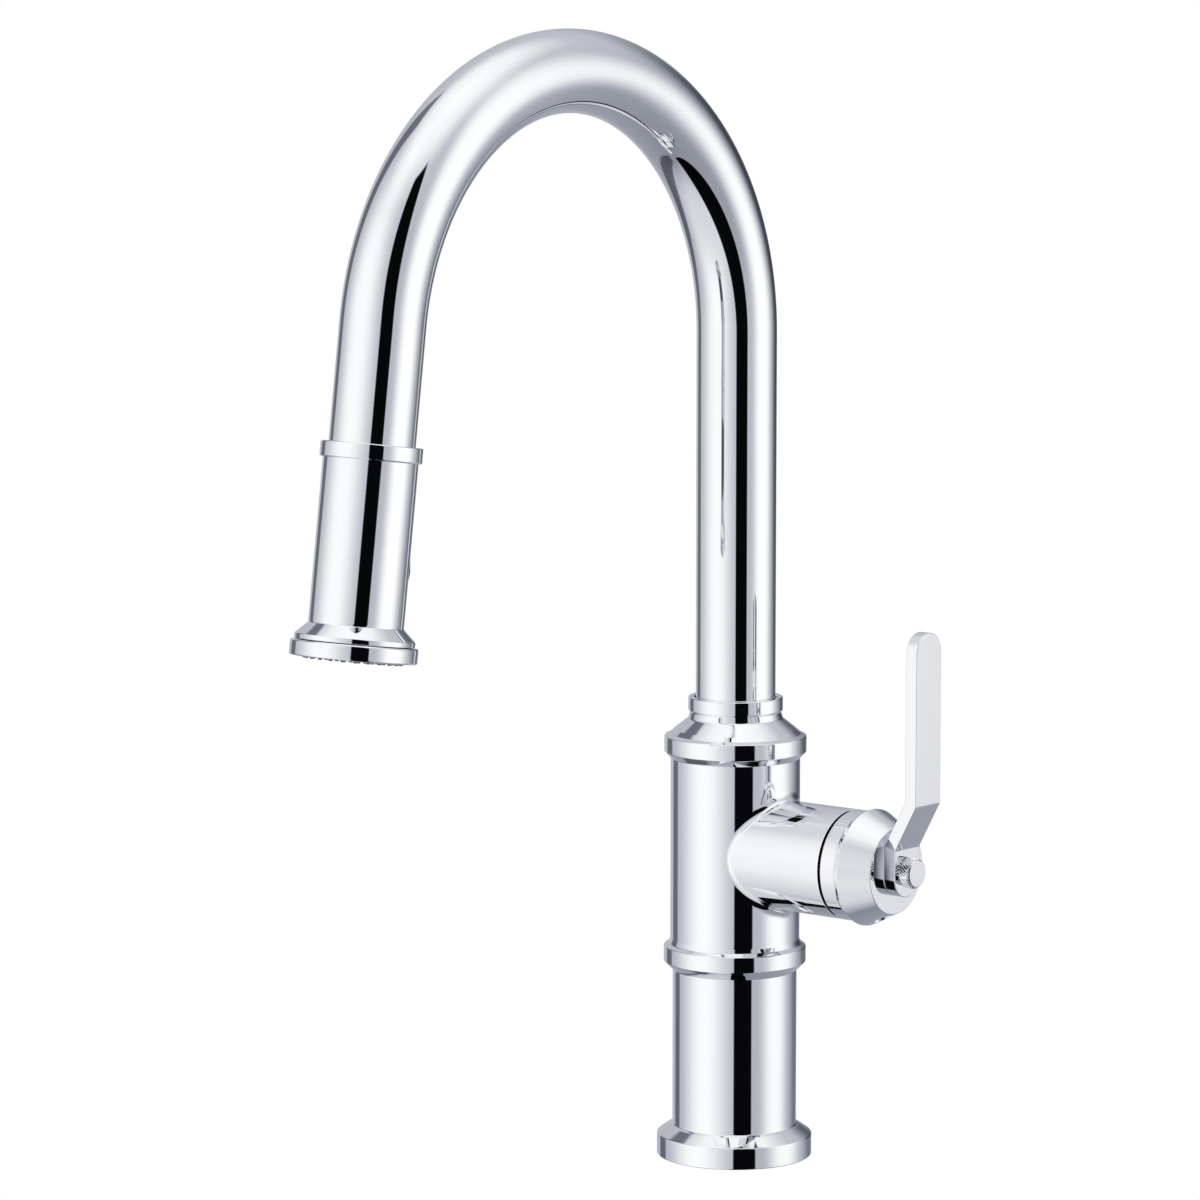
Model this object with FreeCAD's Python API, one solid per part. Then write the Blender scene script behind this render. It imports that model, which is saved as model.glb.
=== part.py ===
import FreeCAD, Part

import math
import os

# Single-handle pull-down kitchen faucet.
# Frame: origin at the centre of the base's underside, on the deck; +Z up; the spout reaches
# towards -Y and the handle stands out towards +X.  Millimetres.

V = FreeCAD.Vector
ORIGIN = V(0, 0, 0)
X_AXIS = V(1, 0, 0)
Y_AXIS = V(0, 1, 0)
Z_AXIS = V(0, 0, 1)

# ---------------------------------------------------------------- clearances
FIT = 0.1              # radial play of a seated or running round fit
SWIVEL_GAP = 0.35      # open ring between the turning tube and the neck ring
SLIDE_GAP = 0.3        # between faces that part and meet again
FACE_GAP = 0.1         # between flat faces of different moving bodies

# ---------------------------------------------------------------- base and column
BASE_BAND_H = 7.5
BASE_SLOPE_H = 3.0
LOWER_TOP = 66.5
BASE_WEB = 8.0
RING_LOW = 69.6
RING_HIGH = 75.0
UPPER_R = 22.8
LOWER_R = UPPER_R - 0.9
LOWER_BORE_R = LOWER_R - 3.0
RING_R = UPPER_R + 2.3
BASE_R = LOWER_R + 5.5
BASE_SLOPE_R = LOWER_R + 1.1
UPPER_WALL = 3.0
UPPER_TOP = 142.0
SPIGOT_DEPTH = 8.5     # housing's spigot that stands in the lower column
SPIGOT_WALL = 2.0
BLOCK_LEDGE = 78.0     # step inside the housing under the valve block

# ---------------------------------------------------------------- bonnet on top of the column
FLANGE_R = UPPER_R + 2.2
FLANGE_H = 5.5
FLANGE_CHAMFER = 2.4
CONE_LOW_R = UPPER_R - 1.3
CONE_TOP_R = 16.6
CONE_H = 3.9
NECK_R = 16.0
NECK_RING_R = 16.64
NECK_RING_H = 4.7

# ---------------------------------------------------------------- gooseneck
TUBE_R = 14.0
TUBE_WALL = 1.2
TUBE_FOOT = 150.0
ARC_R = 91.8
RISER_TOP = 291.6
HEAD_LEAN = 8.04       # degrees between the spray head's axis and plumb
DOCK_AT = 38.7         # from the arc's end to the docking collar, along the head's axis

# ---------------------------------------------------------------- spray head, along its axis
COLLAR_R = TUBE_R + 2.5
COLLAR_H = 5.14
COLLAR_RECESS = 3.1
HEAD_R = 15.4
HEAD_WALL = 1.8
HEAD_L = 58.6          # shell, from collar to face ring
FLARE_R = HEAD_R + 4.1
FLARE_L = 3.9
LIP_L = 1.6
FACE_R = FLARE_R + 1.15
FACE_H = 5.4
FACE_BORE_R = HEAD_R + 1.6
AERATOR_R = 7.9
NUB_R = 0.75
NUB_RINGS = [(10.4, 14), (13.2, 18), (15.6, 24)]
NUB_STAND = 0.7

# ---------------------------------------------------------------- core of the spray head
CORE_TOP = 8.0         # core's upper face, from the shell's upper end
CORE_END = 3.4         # core's lower face, short of the shell's lower end
CORE_WAY_R = 3.0
VALVE_SEAT = 0.2
VALVE_L = 11.0
AERATOR_WALL = 1.2
AERATOR_CUP = 1.0

# ---------------------------------------------------------------- outlet dock
DOCK_WALL = 1.6        # guide's and magnet's bore, over the hose ferrule
GUIDE_L = 16.0
GUIDE_BACK = 6.0
MAGNET_T = 5.5
MAGNET_BACK = 0.4
KEEPER_T = 1.2

# ---------------------------------------------------------------- rocker in the spray head
ROCKER_AT = 26.7       # centre, from the collar's lower face
ROCKER_L = 31.0
ROCKER_W = 17.6
ROCKER_PROUD = 0.5
ROCKER_DEPTH = 3.4
ROCKER_PIN_R = 0.9
ROCKER_PIN_HALF = 4.6
ROCKER_PIN_DEPTH = 4.6  # pin's centre below the shell's surface
ROCKER_BOSS_R = 2.3
ROCKER_BOSS_HALF = 2.8
POCKET_DEPTH = 7.4
ROCKER_GAP = 0.5

# ---------------------------------------------------------------- hose
HOSE_R = 6.0
HOSE_TUNNEL_R = 6.6
FERRULE_R = 7.4
FERRULE_L = 8.0
HOSE_END = -70.0
FITTING_R = 7.0
FITTING_L = 24.0

# ---------------------------------------------------------------- handle barrel and mechanism
HANDLE_Z = 109.6
BARREL_R = 19.2
BARREL_END = 51.0
BARREL_BORE_R = BARREL_R - 3.0
BARREL_FILLET = 3.4
SEAM = 0.9
HUB_R = BARREL_R + 1.1
HUB_BAND_L = 6.7
HUB_FLARE_L = HUB_BAND_L + 1.1
HUB_COVE = 1.4
HUB_EDGE = 0.8
HUB_FACE_R = BARREL_R - 4.1
HUB_L = 18.7
HUB_WALL = 2.0
HUB_FACE_T = 8.6
PIVOT_X = 54.2         # rim hinge of the lift motion
PIVOT_DROP = BARREL_R - 2.8
PIVOT_PIN_R = 0.8
KNUCKLE_R = 1.6
KNUCKLE_W = 6.0
LUG_W = 2.6
CARRIER_R = BARREL_R - 4.8
CARRIER_BORE_R = CARRIER_R - 3.8
CARRIER_TOP = 58.0
CARRIER_BACK = 6.8     # carrier's flange starts this far inside the barrel's end
CARRIER_FLANGE_T = 3.4
RETAINER_T = 2.8
RETAINER_BACK = 0.4
CARTRIDGE_R = 12.5
CARTRIDGE_BORE_R = 9.0
CARTRIDGE_SEAT = 9.0
CARTRIDGE_L = 34.0
SPOOL_R = 8.6
SPOOL_FOOT = 3.0       # spool's lower face, from the cartridge's seat
SPOOL_TOP = 22.5
SPOOL_NECK = 7.2
SPOOL_NECK_L = 3.2
STEM_R = 4.0
STEM_END = 58.5
CROSS_PIN_X = 54.6
CROSS_PIN_R = 1.3
YOKE_R = CARRIER_BORE_R - 1.8
SET_SCREW_BACK = 5.1   # from the hub's face to the set screw's axis
SET_SCREW_R = 2.5
SET_SCREW_L = 6.0
PLUG_R = 3.8

# ---------------------------------------------------------------- lever
LEVER_W = 14.2
LEVER_T = 4.6
LEVER_FOOT_DROP = 1.6
LEVER_BEND_LOW = 8.3
LEVER_BEND_HIGH = 24.1
LEVER_LEAN = 28.4
LEVER_TOP = 83.5
THUMB_R = 5.3
THUMB_HEAD_L = 4.4
THUMB_SHANK_R = 2.5

# ---------------------------------------------------------------- under the deck
SHANK_R = 16.5
SHANK_BORE_R = 14.4
SHANK_END = -62.0
SHANK_FLANGE_R = 18.6
SHANK_FLANGE_H = 3.0
DECK = 30.0
WASHER_R = 26.0
RUBBER_T = 3.0
STEEL_T = 2.0
NUT_R = 25.0
NUT_H = 10.0
JACK_R = 2.5
JACK_CIRCLE_R = 21.0
JACK_COUNT = 3
JACK_L = 24.0
JACK_HEAD_R = 4.0
JACK_HEAD_L = 3.0
JACK_STAND = 2.0       # screws reach past the nut as far as the washer
SEAL_OUT_R = BASE_R - 2.0
SEAL_IN_R = 20.6
SEAL_T = 2.0

# ---------------------------------------------------------------- inlet manifold and risers
MANIFOLD_LOW = 11.5
MANIFOLD_H = 15.5
PORT_R = 3.45          # M8 x 1 tapping bore
PORT_DEPTH = 9.0
PORT_CIRCLE_R = 10.5
PORT_ANGLES = {"hot_riser": 60.0, "mixed_riser": 0.0, "cold_riser": -60.0}
RISER_R = 3.0
RISER_BORE_R = 2.2
RISER_SOCKET = 3.0
BLOCK_LOW = 84.0
BLOCK_H = 42.0

# ---------------------------------------------------------------- swivel
SOCKET_LOW = 126.5
SOCKET_TOP = 149.4
SOCKET_BORE_R = 14.6
BONNET_THREAD_R = 17.6
SPIGOT_FOOT = 127.2
SPIGOT_TOP = 172.0
BUSH_H = 5.0
CLIP_T = 1.6

# ---------------------------------------------------------------- derived
TUBE_BORE_R = TUBE_R - TUBE_WALL
UPPER_BORE_R = UPPER_R - UPPER_WALL
FLANGE_LOW = UPPER_TOP + FLANGE_CHAMFER
FLANGE_TOP = FLANGE_LOW + FLANGE_H
CONE_LOW = FLANGE_TOP + 2.3
CONE_TOP = CONE_LOW + CONE_H
NECK_RING_LOW = CONE_TOP + 2.9
NECK_RING_TOP = NECK_RING_LOW + NECK_RING_H
SPIGOT_R = TUBE_BORE_R - FIT
COLLAR_END = DOCK_AT + COLLAR_H
FLOOR_AT = DOCK_AT + COLLAR_RECESS
SHELL_END = COLLAR_END + HEAD_L
FACE_END = SHELL_END + FACE_H
HEAD_BORE_R = HEAD_R - HEAD_WALL
ROCKER_S = COLLAR_END + ROCKER_AT
HUB_BACK = BARREL_END + SEAM
HUB_FACE = HUB_BACK + HUB_L
LEAN = math.radians(HEAD_LEAN)
ARC_SWEEP = 180.0 - HEAD_LEAN
ARC_CENTRE = V(0, -ARC_R, RISER_TOP)
HEAD_AXIS = V(0, -math.sin(LEAN), -math.cos(LEAN))
ARC_END = ARC_CENTRE + V(0, -ARC_R * math.cos(LEAN), ARC_R * math.sin(LEAN))


# ---------------------------------------------------------------- shaping helpers
def save(node, shape):
    """Write one named piece."""
    shape.exportStep("parts/" + node + ".step")


def rounded_wire(points):
    """Join (x, y, round) points in the XZ plane; a point's round is its corner radius."""
    count = len(points)
    ends = []
    for i, point in enumerate(points):
        here = V(point[0], 0, point[1])
        round_r = point[2] if len(point) > 2 else 0
        if not round_r:
            ends.append((here, here, None))
            continue
        before = V(points[i - 1][0], 0, points[i - 1][1])
        after = V(points[(i + 1) % count][0], 0, points[(i + 1) % count][1])
        back = (before - here).normalize()
        ahead = (after - here).normalize()
        half = back.getAngle(ahead) / 2
        reach = round_r / math.tan(half)
        middle = (back + ahead).normalize()
        apex = here + middle * (round_r / math.sin(half) - round_r)
        ends.append((here + back * reach, here + ahead * reach, apex))
    edges = []
    for i in range(count):
        start, stop, apex = ends[i]
        if apex is not None:
            edges.append(Part.Arc(start, apex, stop).toShape())
        following = ends[(i + 1) % count][0]
        if stop.distanceToPoint(following) > 1e-6:
            edges.append(Part.LineSegment(stop, following).toShape())
    return Part.Wire(edges)


def turned(points):
    """Turn a closed (radius, height, round) outline about Z."""
    face = Part.Face(rounded_wire(points))
    return face.revolve(ORIGIN, Z_AXIS, 360)


def disc(radius, low, high, x=0.0, y=0.0):
    return Part.makeCylinder(radius, high - low, V(x, y, low), Z_AXIS)


def ring(outer, inner, low, high):
    return disc(outer, low, high).cut(disc(inner, low - 1, high + 1))


def block(x0, x1, y0, y1, z0, z1):
    return Part.makeBox(x1 - x0, y1 - y0, z1 - z0, V(x0, y0, z0))


def round_cord(circle_r, cord_r, height):
    """An O-ring lying level at the given height."""
    return Part.makeTorus(circle_r, cord_r, V(0, 0, height), Z_AXIS)


def at_angle(angle, radius):
    turn = math.radians(angle)
    return radius * math.cos(turn), radius * math.sin(turn)


def on_handle_axis(shape):
    """Lay a piece built about +Z along the handle's axis; its +X side becomes the underside."""
    placed = shape.copy()
    placed.rotate(ORIGIN, Y_AXIS, 90)
    placed.translate(V(0, 0, HANDLE_Z))
    return placed


def on_head_axis(shape):
    """Lay a piece built about +Z from the arc's end along the head; -Y faces the column."""
    placed = shape.copy()
    placed.rotate(ORIGIN, X_AXIS, 180 - HEAD_LEAN)
    placed.translate(ARC_END)
    return placed


def gooseneck_path(foot, past_arc):
    """Riser, arc and outlet run in one wire."""
    foot_point = V(0, 0, foot)
    riser_top = V(0, 0, RISER_TOP)
    half = math.radians(ARC_SWEEP / 2)
    crown = ARC_CENTRE + V(0, ARC_R * math.cos(half), ARC_R * math.sin(half))
    outlet = ARC_END + HEAD_AXIS * past_arc
    edges = [
        Part.LineSegment(foot_point, riser_top).toShape(),
        Part.Arc(riser_top, crown, ARC_END).toShape(),
        Part.LineSegment(ARC_END, outlet).toShape(),
    ]
    return Part.Wire(edges)


def bent_rod(radius, foot, past_arc):
    """A round rod along the gooseneck's centre line."""
    circle = Part.Wire(Part.makeCircle(radius, V(0, 0, foot), Z_AXIS))
    return gooseneck_path(foot, past_arc).makePipeShell([circle], True, True)


# ---------------------------------------------------------------- base and column
def base_column():
    outline = [
        (SHANK_R + FIT, 0),
        (BASE_R, 0, 0.4),
        (BASE_R, BASE_BAND_H, 0.8),
        (BASE_SLOPE_R, BASE_BAND_H + BASE_SLOPE_H, 0.6),
        (LOWER_R, BASE_BAND_H + BASE_SLOPE_H + 0.6, 0.6),
        (LOWER_R, LOWER_TOP),
        (LOWER_BORE_R, LOWER_TOP),
        (LOWER_BORE_R, BASE_WEB),
        (SHANK_R + FIT, BASE_WEB),
    ]
    return turned(outline).cut(ring(SEAL_OUT_R + FIT, SEAL_IN_R - FIT, -1, SEAL_T))


def valve_housing():
    spigot_r = LOWER_BORE_R - FIT
    outline = [
        (spigot_r, LOWER_TOP - SPIGOT_DEPTH),
        (spigot_r, LOWER_TOP),
        (LOWER_R, LOWER_TOP),
        (RING_R - 1.2, RING_LOW - 1.2, 1.2),
        (RING_R, RING_LOW, 0.5),
        (RING_R, RING_HIGH, 0.6),
        (UPPER_R + 0.6, RING_HIGH + 1.0, 0.6),
        (UPPER_R, RING_HIGH + 2.6, 0.8),
        (UPPER_R, UPPER_TOP),
        (UPPER_BORE_R, UPPER_TOP),
        (UPPER_BORE_R, BLOCK_LEDGE),
        (spigot_r - SPIGOT_WALL, BLOCK_LEDGE),
        (spigot_r - SPIGOT_WALL, LOWER_TOP - SPIGOT_DEPTH),
    ]
    column = turned(outline)
    barrel = on_handle_axis(disc(BARREL_R, 1, BARREL_END))
    core = disc(UPPER_BORE_R, BLOCK_LEDGE, UPPER_TOP)
    body = column.fuse(barrel.cut(core)).removeSplitter()
    seam_edges = [edge for edge in body.Edges if on_column_skin(edge)]
    body = body.makeFillet(BARREL_FILLET, seam_edges)
    bore = on_handle_axis(disc(BARREL_BORE_R, 0, BARREL_END + 1))
    return body.cut(bore)


def on_column_skin(edge):
    """True for the curve where the barrel leaves the column's outer skin."""
    start, stop = edge.ParameterRange
    middle = edge.valueAt((start + stop) / 2)
    on_skin = abs(math.hypot(middle.x, middle.y) - UPPER_R) < 0.01
    on_barrel = abs(math.hypot(middle.y, middle.z - HANDLE_Z) - BARREL_R) < 0.01
    return on_skin and on_barrel and edge.Length > SEAM


def spout_bonnet():
    outline = [
        (BONNET_THREAD_R, UPPER_TOP),
        (UPPER_R, UPPER_TOP),
        (FLANGE_R, FLANGE_LOW, 0.5),
        (FLANGE_R, FLANGE_TOP, 0.5),
        (CONE_LOW_R + 1.6, FLANGE_TOP + 0.8, 0.7),
        (CONE_LOW_R, CONE_LOW, 0.5),
        (CONE_TOP_R, CONE_TOP, 1.2),
        (NECK_R, NECK_RING_LOW - 0.6, 0.4),
        (NECK_RING_R, NECK_RING_LOW, 0.3),
        (NECK_RING_R, NECK_RING_TOP, 0.5),
        (TUBE_R + SWIVEL_GAP, NECK_RING_TOP, 0.4),
        (TUBE_R + SWIVEL_GAP, TUBE_FOOT),
        (BONNET_THREAD_R, TUBE_FOOT),
    ]
    return turned(outline)


def swivel_socket():
    """Brass insert in the column's top that carries the spout's two bushes."""
    outline = [
        (SOCKET_BORE_R, SOCKET_LOW),
        (UPPER_BORE_R - FIT, SOCKET_LOW),
        (UPPER_BORE_R - FIT, UPPER_TOP),
        (BONNET_THREAD_R - FIT, UPPER_TOP),
        (BONNET_THREAD_R - FIT, SOCKET_TOP),
        (SOCKET_BORE_R, SOCKET_TOP),
    ]
    return turned(outline)


# ---------------------------------------------------------------- waterway
def port_centres():
    return [at_angle(angle, PORT_CIRCLE_R) for angle in PORT_ANGLES.values()]


def inlet_manifold():
    top = MANIFOLD_LOW + MANIFOLD_H
    body = ring(LOWER_BORE_R - FIT, HOSE_TUNNEL_R, MANIFOLD_LOW, top)
    for x, y in port_centres():
        body = body.cut(disc(PORT_R, MANIFOLD_LOW - 1, MANIFOLD_LOW + PORT_DEPTH, x, y))
        body = body.cut(disc(RISER_BORE_R, MANIFOLD_LOW, top + 1, x, y))
        body = body.cut(disc(RISER_R + FIT, top - RISER_SOCKET, top + 1, x, y))
    return body


def riser(x, y):
    low = MANIFOLD_LOW + MANIFOLD_H - RISER_SOCKET
    high = BLOCK_LOW + RISER_SOCKET
    return disc(RISER_R, low, high, x, y).cut(disc(RISER_BORE_R, low - 1, high + 1, x, y))


def valve_block():
    """Brass block around the hose tunnel, bored for the cartridge and its three ways."""
    body = ring(UPPER_BORE_R - FIT, HOSE_TUNNEL_R, BLOCK_LOW, BLOCK_LOW + BLOCK_H)
    seat = on_handle_axis(disc(CARTRIDGE_R + FIT, CARTRIDGE_SEAT, BARREL_END))
    body = body.cut(seat)
    for x, y in port_centres():
        body = body.cut(disc(RISER_R + FIT, BLOCK_LOW - 1, BLOCK_LOW + RISER_SOCKET, x, y))
        body = body.cut(disc(RISER_BORE_R, BLOCK_LOW, HANDLE_Z, x, y))
        if abs(y) > 1:
            way = Part.makeCylinder(RISER_BORE_R, PORT_CIRCLE_R, V(x, y, HANDLE_Z), X_AXIS)
            body = body.cut(way)
    return body


# ---------------------------------------------------------------- cartridge
def cartridge_sleeve():
    high = CARTRIDGE_SEAT + CARTRIDGE_L
    body = ring(CARTRIDGE_R, CARTRIDGE_BORE_R, CARTRIDGE_SEAT, high)
    floor_hole = ring(CARTRIDGE_R - 1.2, 3.0, CARTRIDGE_SEAT, CARTRIDGE_SEAT + 2.0)
    body = body.fuse(floor_hole)
    for groove in sleeve_seal_places():
        body = body.cut(ring(CARTRIDGE_R + 1, CARTRIDGE_R - 1.2, groove - 1.0, groove + 1.0))
    body = body.cut(ring(CARTRIDGE_R + 1, CARTRIDGE_R - 1.4, high - 4.6, high - 3.0))
    return on_handle_axis(body.removeSplitter())


def sleeve_seal_places():
    return [CARTRIDGE_SEAT + 4.0, CARTRIDGE_SEAT + 14.0]


def cartridge_seals():
    rings = [round_cord(CARTRIDGE_R - 0.5, 0.6, place) for place in sleeve_seal_places()]
    return on_handle_axis(Part.makeCompound(rings))


def cartridge_clip():
    """Horseshoe clip that keys the sleeve to the barrel."""
    low = CARTRIDGE_SEAT + CARTRIDGE_L - 4.5
    plate = ring(BARREL_BORE_R - FIT, CARTRIDGE_R - 1.3, low, low + 1.4)
    throat = block(0, BARREL_R + 5, 1.3 - CARTRIDGE_R, CARTRIDGE_R - 1.3, low - 1, low + 3)
    return on_handle_axis(plate.cut(throat))


def pivot_retainer():
    """Brass ring nut screwed into the barrel's mouth."""
    high = BARREL_END - RETAINER_BACK
    body = ring(BARREL_BORE_R - FIT, CARRIER_R + SLIDE_GAP, high - RETAINER_T, high)
    for angle in (45, 135, 225, 315):
        x, y = at_angle(angle, BARREL_BORE_R)
        body = body.cut(disc(0.7, BARREL_END - 2.0, BARREL_END, x, y))
    return on_handle_axis(body)


def carrier_ring():
    """Ring that turns in the barrel and carries the hub's hinge."""
    low = BARREL_END - CARRIER_BACK
    flange = disc(BARREL_BORE_R - SLIDE_GAP, low, low + CARRIER_FLANGE_T)
    collar = disc(CARRIER_R, low, CARRIER_TOP)
    knuckle = Part.makeCylinder(
        KNUCKLE_R, KNUCKLE_W, V(PIVOT_DROP, -KNUCKLE_W / 2, PIVOT_X), Y_AXIS
    )
    arm = block(CARRIER_R - 1.5, PIVOT_DROP, -KNUCKLE_W / 2, KNUCKLE_W / 2,
                PIVOT_X - KNUCKLE_R, PIVOT_X + KNUCKLE_R)
    body = flange.fuse([collar, knuckle, arm])
    body = body.cut(disc(CARRIER_BORE_R, low - 1, CARRIER_TOP + 1))
    pin_hole = Part.makeCylinder(
        PIVOT_PIN_R + FIT, 2 * BARREL_R, V(PIVOT_DROP, -BARREL_R, PIVOT_X), Y_AXIS
    )
    return on_handle_axis(body.cut(pin_hole).removeSplitter())


def hinge_pin():
    half = KNUCKLE_W / 2 + SLIDE_GAP + LUG_W - 0.6
    pin = Part.makeCylinder(PIVOT_PIN_R, 2 * half, V(PIVOT_DROP, -half, PIVOT_X), Y_AXIS)
    return on_handle_axis(pin)


def stem_bush():
    """Moulded guide for the stem in the sleeve's open end."""
    high = CARTRIDGE_SEAT + CARTRIDGE_L
    return on_handle_axis(ring(CARTRIDGE_BORE_R - FIT, STEM_R + FIT, high - 4.0, high))


def spool_seal_places():
    return [CARTRIDGE_SEAT + 5.2, CARTRIDGE_SEAT + 12.0, CARTRIDGE_SEAT + 20.0]


def spindle():
    """Spool that opens the ports as it is drawn out, with its stem."""
    low = CARTRIDGE_SEAT + SPOOL_FOOT
    high = CARTRIDGE_SEAT + SPOOL_TOP
    body = disc(SPOOL_R, low, high)
    for place in spool_seal_places():
        body = body.cut(ring(SPOOL_R + 1, SPOOL_R - 0.9, place - 0.6, place + 0.6))
    neck_low = CARTRIDGE_SEAT + SPOOL_NECK
    body = body.cut(ring(SPOOL_R + 1, SPOOL_R - 2.4, neck_low, neck_low + SPOOL_NECK_L))
    body = body.fuse(disc(STEM_R, high, STEM_END))
    cross = Part.makeCylinder(CROSS_PIN_R, 4 * STEM_R, V(0, -2 * STEM_R, CROSS_PIN_X), Y_AXIS)
    return on_handle_axis(body.cut(cross).removeSplitter())


def spindle_seals():
    cords = []
    for place in spool_seal_places():
        cords.append(ring(CARTRIDGE_BORE_R - FIT, SPOOL_R - 0.9, place - 0.5, place + 0.5))
    return on_handle_axis(Part.makeCompound(cords))


def cross_pin():
    half = YOKE_R - 0.4
    pin = Part.makeCylinder(CROSS_PIN_R, 2 * half, V(0, -half, CROSS_PIN_X), Y_AXIS)
    return on_handle_axis(pin)


# ---------------------------------------------------------------- handle
def hub_blank():
    """The hub's outside, solid."""
    return turned([
        (0, HUB_BACK),
        (BARREL_R, HUB_BACK, 0.5),
        (BARREL_R, HUB_BACK + HUB_BAND_L, HUB_COVE),
        (HUB_R, HUB_BACK + HUB_FLARE_L, HUB_EDGE),
        (HUB_FACE_R, HUB_FACE, 0.3),
        (0, HUB_FACE),
    ])


def hub_cavity():
    inner_r = BARREL_R - HUB_WALL
    inner_face = HUB_FACE - HUB_FACE_T
    return turned([
        (0, HUB_BACK - 1),
        (inner_r, HUB_BACK - 1),
        (inner_r, inner_face - 3.0),
        (inner_r - 2.0, inner_face),
        (0, inner_face),
    ])


def handle_hub():
    """Conical hub: outer shell, hinge lugs and the slotted yoke that draws the spindle."""
    inner_face = HUB_FACE - HUB_FACE_T
    lugs = []
    for side in (-1, 1):
        near = side * (KNUCKLE_W / 2 + SLIDE_GAP)
        far = near + side * LUG_W
        lugs.append(block(PIVOT_DROP - 1.3, PIVOT_DROP + 1.2, min(near, far), max(near, far),
                          PIVOT_X - 1.3, PIVOT_X + 6.0))
    yoke = disc(YOKE_R, CROSS_PIN_X - 2.6, inner_face + 0.1)
    body = hub_blank().cut(hub_cavity()).fuse(lugs + [yoke])
    slot = block(-CROSS_PIN_R - 2.4, CROSS_PIN_R + SLIDE_GAP, -YOKE_R - 1, YOKE_R + 1,
                 CROSS_PIN_X - CROSS_PIN_R - SLIDE_GAP, CROSS_PIN_X + CROSS_PIN_R + SLIDE_GAP)
    stem_room = block(-STEM_R - 3.4, STEM_R + 1.6, -STEM_R - 1.6, STEM_R + 1.6,
                      CROSS_PIN_X - 4, inner_face)
    body = body.cut([slot, stem_room])
    knuckle_w = KNUCKLE_W + 2 * SLIDE_GAP
    pocket = Part.makeCylinder(
        KNUCKLE_R + SLIDE_GAP, knuckle_w, V(PIVOT_DROP, -knuckle_w / 2, PIVOT_X), Y_AXIS
    )
    reach = KNUCKLE_W / 2 + SLIDE_GAP + LUG_W - 0.3
    pin_hole = Part.makeCylinder(
        PIVOT_PIN_R + FIT, 2 * reach, V(PIVOT_DROP, -reach, PIVOT_X), Y_AXIS
    )
    thumb_bore = disc(THUMB_SHANK_R + FIT, HUB_FACE - 6, HUB_FACE + 1)
    body = body.cut([pocket, pin_hole, thumb_bore, screw_way(SET_SCREW_R + FIT, 2, 10),
                     screw_way(PLUG_R + FIT, plug_seat(), 30)])
    return on_handle_axis(body.removeSplitter())


def screw_way(radius, start, stop):
    """A cylinder square to the axis, through the hub's underside."""
    return Part.makeCylinder(radius, stop - start, V(start, 0, HUB_FACE - SET_SCREW_BACK), X_AXIS)


def plug_seat():
    return THUMB_SHANK_R + FIT + SET_SCREW_L + 0.4


def hub_set_screw():
    start = THUMB_SHANK_R + FIT
    screw = screw_way(SET_SCREW_R, start, start + SET_SCREW_L)
    return on_handle_axis(screw.cut(screw_way(1.25, start + SET_SCREW_L - 2.5, 20)))


def screw_plug():
    """Cap over the set screw, just below the cone's skin."""
    skin = hub_blank()
    skin.translate(V(0, 0, -0.5))
    return on_handle_axis(screw_way(PLUG_R, plug_seat(), 30).common(skin))


def lever():
    """Flat bar: foot on the hub, a leaning neck and an upright paddle with a round end."""
    back = HUB_FACE
    lean = math.radians(LEVER_LEAN)
    run = LEVER_BEND_HIGH - LEVER_BEND_LOW
    step = run * math.tan(lean)
    shift = LEVER_T * math.tan(lean / 2)
    foot_low = -LEVER_FOOT_DROP - LEVER_W / 2
    side = [
        (back, foot_low),
        (back, LEVER_BEND_LOW + shift),
        (back + step, LEVER_BEND_HIGH + shift),
        (back + step, LEVER_TOP),
        (back + step + LEVER_T, LEVER_TOP),
        (back + step + LEVER_T, LEVER_BEND_HIGH),
        (back + LEVER_T, LEVER_BEND_LOW),
        (back + LEVER_T, foot_low),
    ]
    face = Part.Face(rounded_wire([(x, z + HANDLE_Z) for x, z in side]))
    bar = face.extrude(V(0, LEVER_W, 0))
    bar.translate(V(0, -LEVER_W / 2, 0))
    half = LEVER_W / 2
    length = LEVER_TOP - foot_low - LEVER_W
    outline = disc(half, 0, 60).fuse([disc(half, 0, 60, -length, 0),
                                      block(-length, 0, -half, half, 0, 60)])
    outline.rotate(ORIGIN, Y_AXIS, 90)
    outline.translate(V(HUB_FACE - 20, 0, HANDLE_Z - LEVER_FOOT_DROP))
    bar = bar.common(outline.removeSplitter())
    bore = Part.makeCylinder(THUMB_SHANK_R + FIT, 20, V(HUB_FACE - 5, 0, HANDLE_Z), X_AXIS)
    return bar.cut(bore).removeSplitter()


def thumb_screw():
    start = HUB_FACE + LEVER_T
    head = turned([
        (0, start),
        (THUMB_R, start),
        (THUMB_R, start + THUMB_HEAD_L, 0.4),
        (0, start + THUMB_HEAD_L),
    ])
    shank = disc(THUMB_SHANK_R, HUB_FACE - 4.6, start)
    return on_handle_axis(head.fuse(shank).removeSplitter())


# ---------------------------------------------------------------- spout and swivel
def spout_tube():
    outside = bent_rod(TUBE_R, TUBE_FOOT, FLOOR_AT - SLIDE_GAP)
    inside = bent_rod(TUBE_BORE_R, TUBE_FOOT - 1, FLOOR_AT - SLIDE_GAP + 1)
    return outside.cut(inside)


def swivel_spigot():
    body = ring(SPIGOT_R, SPIGOT_R - 2.4, SPIGOT_FOOT, SPIGOT_TOP)
    low = clip_low()
    return body.cut(ring(SPIGOT_R + 1, SPIGOT_R - 1.2, low - FACE_GAP, low + CLIP_T + FACE_GAP))


def clip_low():
    return SOCKET_LOW + 1.0 + BUSH_H + FACE_GAP + 1.0


def lower_bush():
    return ring(SOCKET_BORE_R - FIT, SPIGOT_R + FIT, SOCKET_LOW + 1.0, SOCKET_LOW + 1.0 + BUSH_H)


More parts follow.
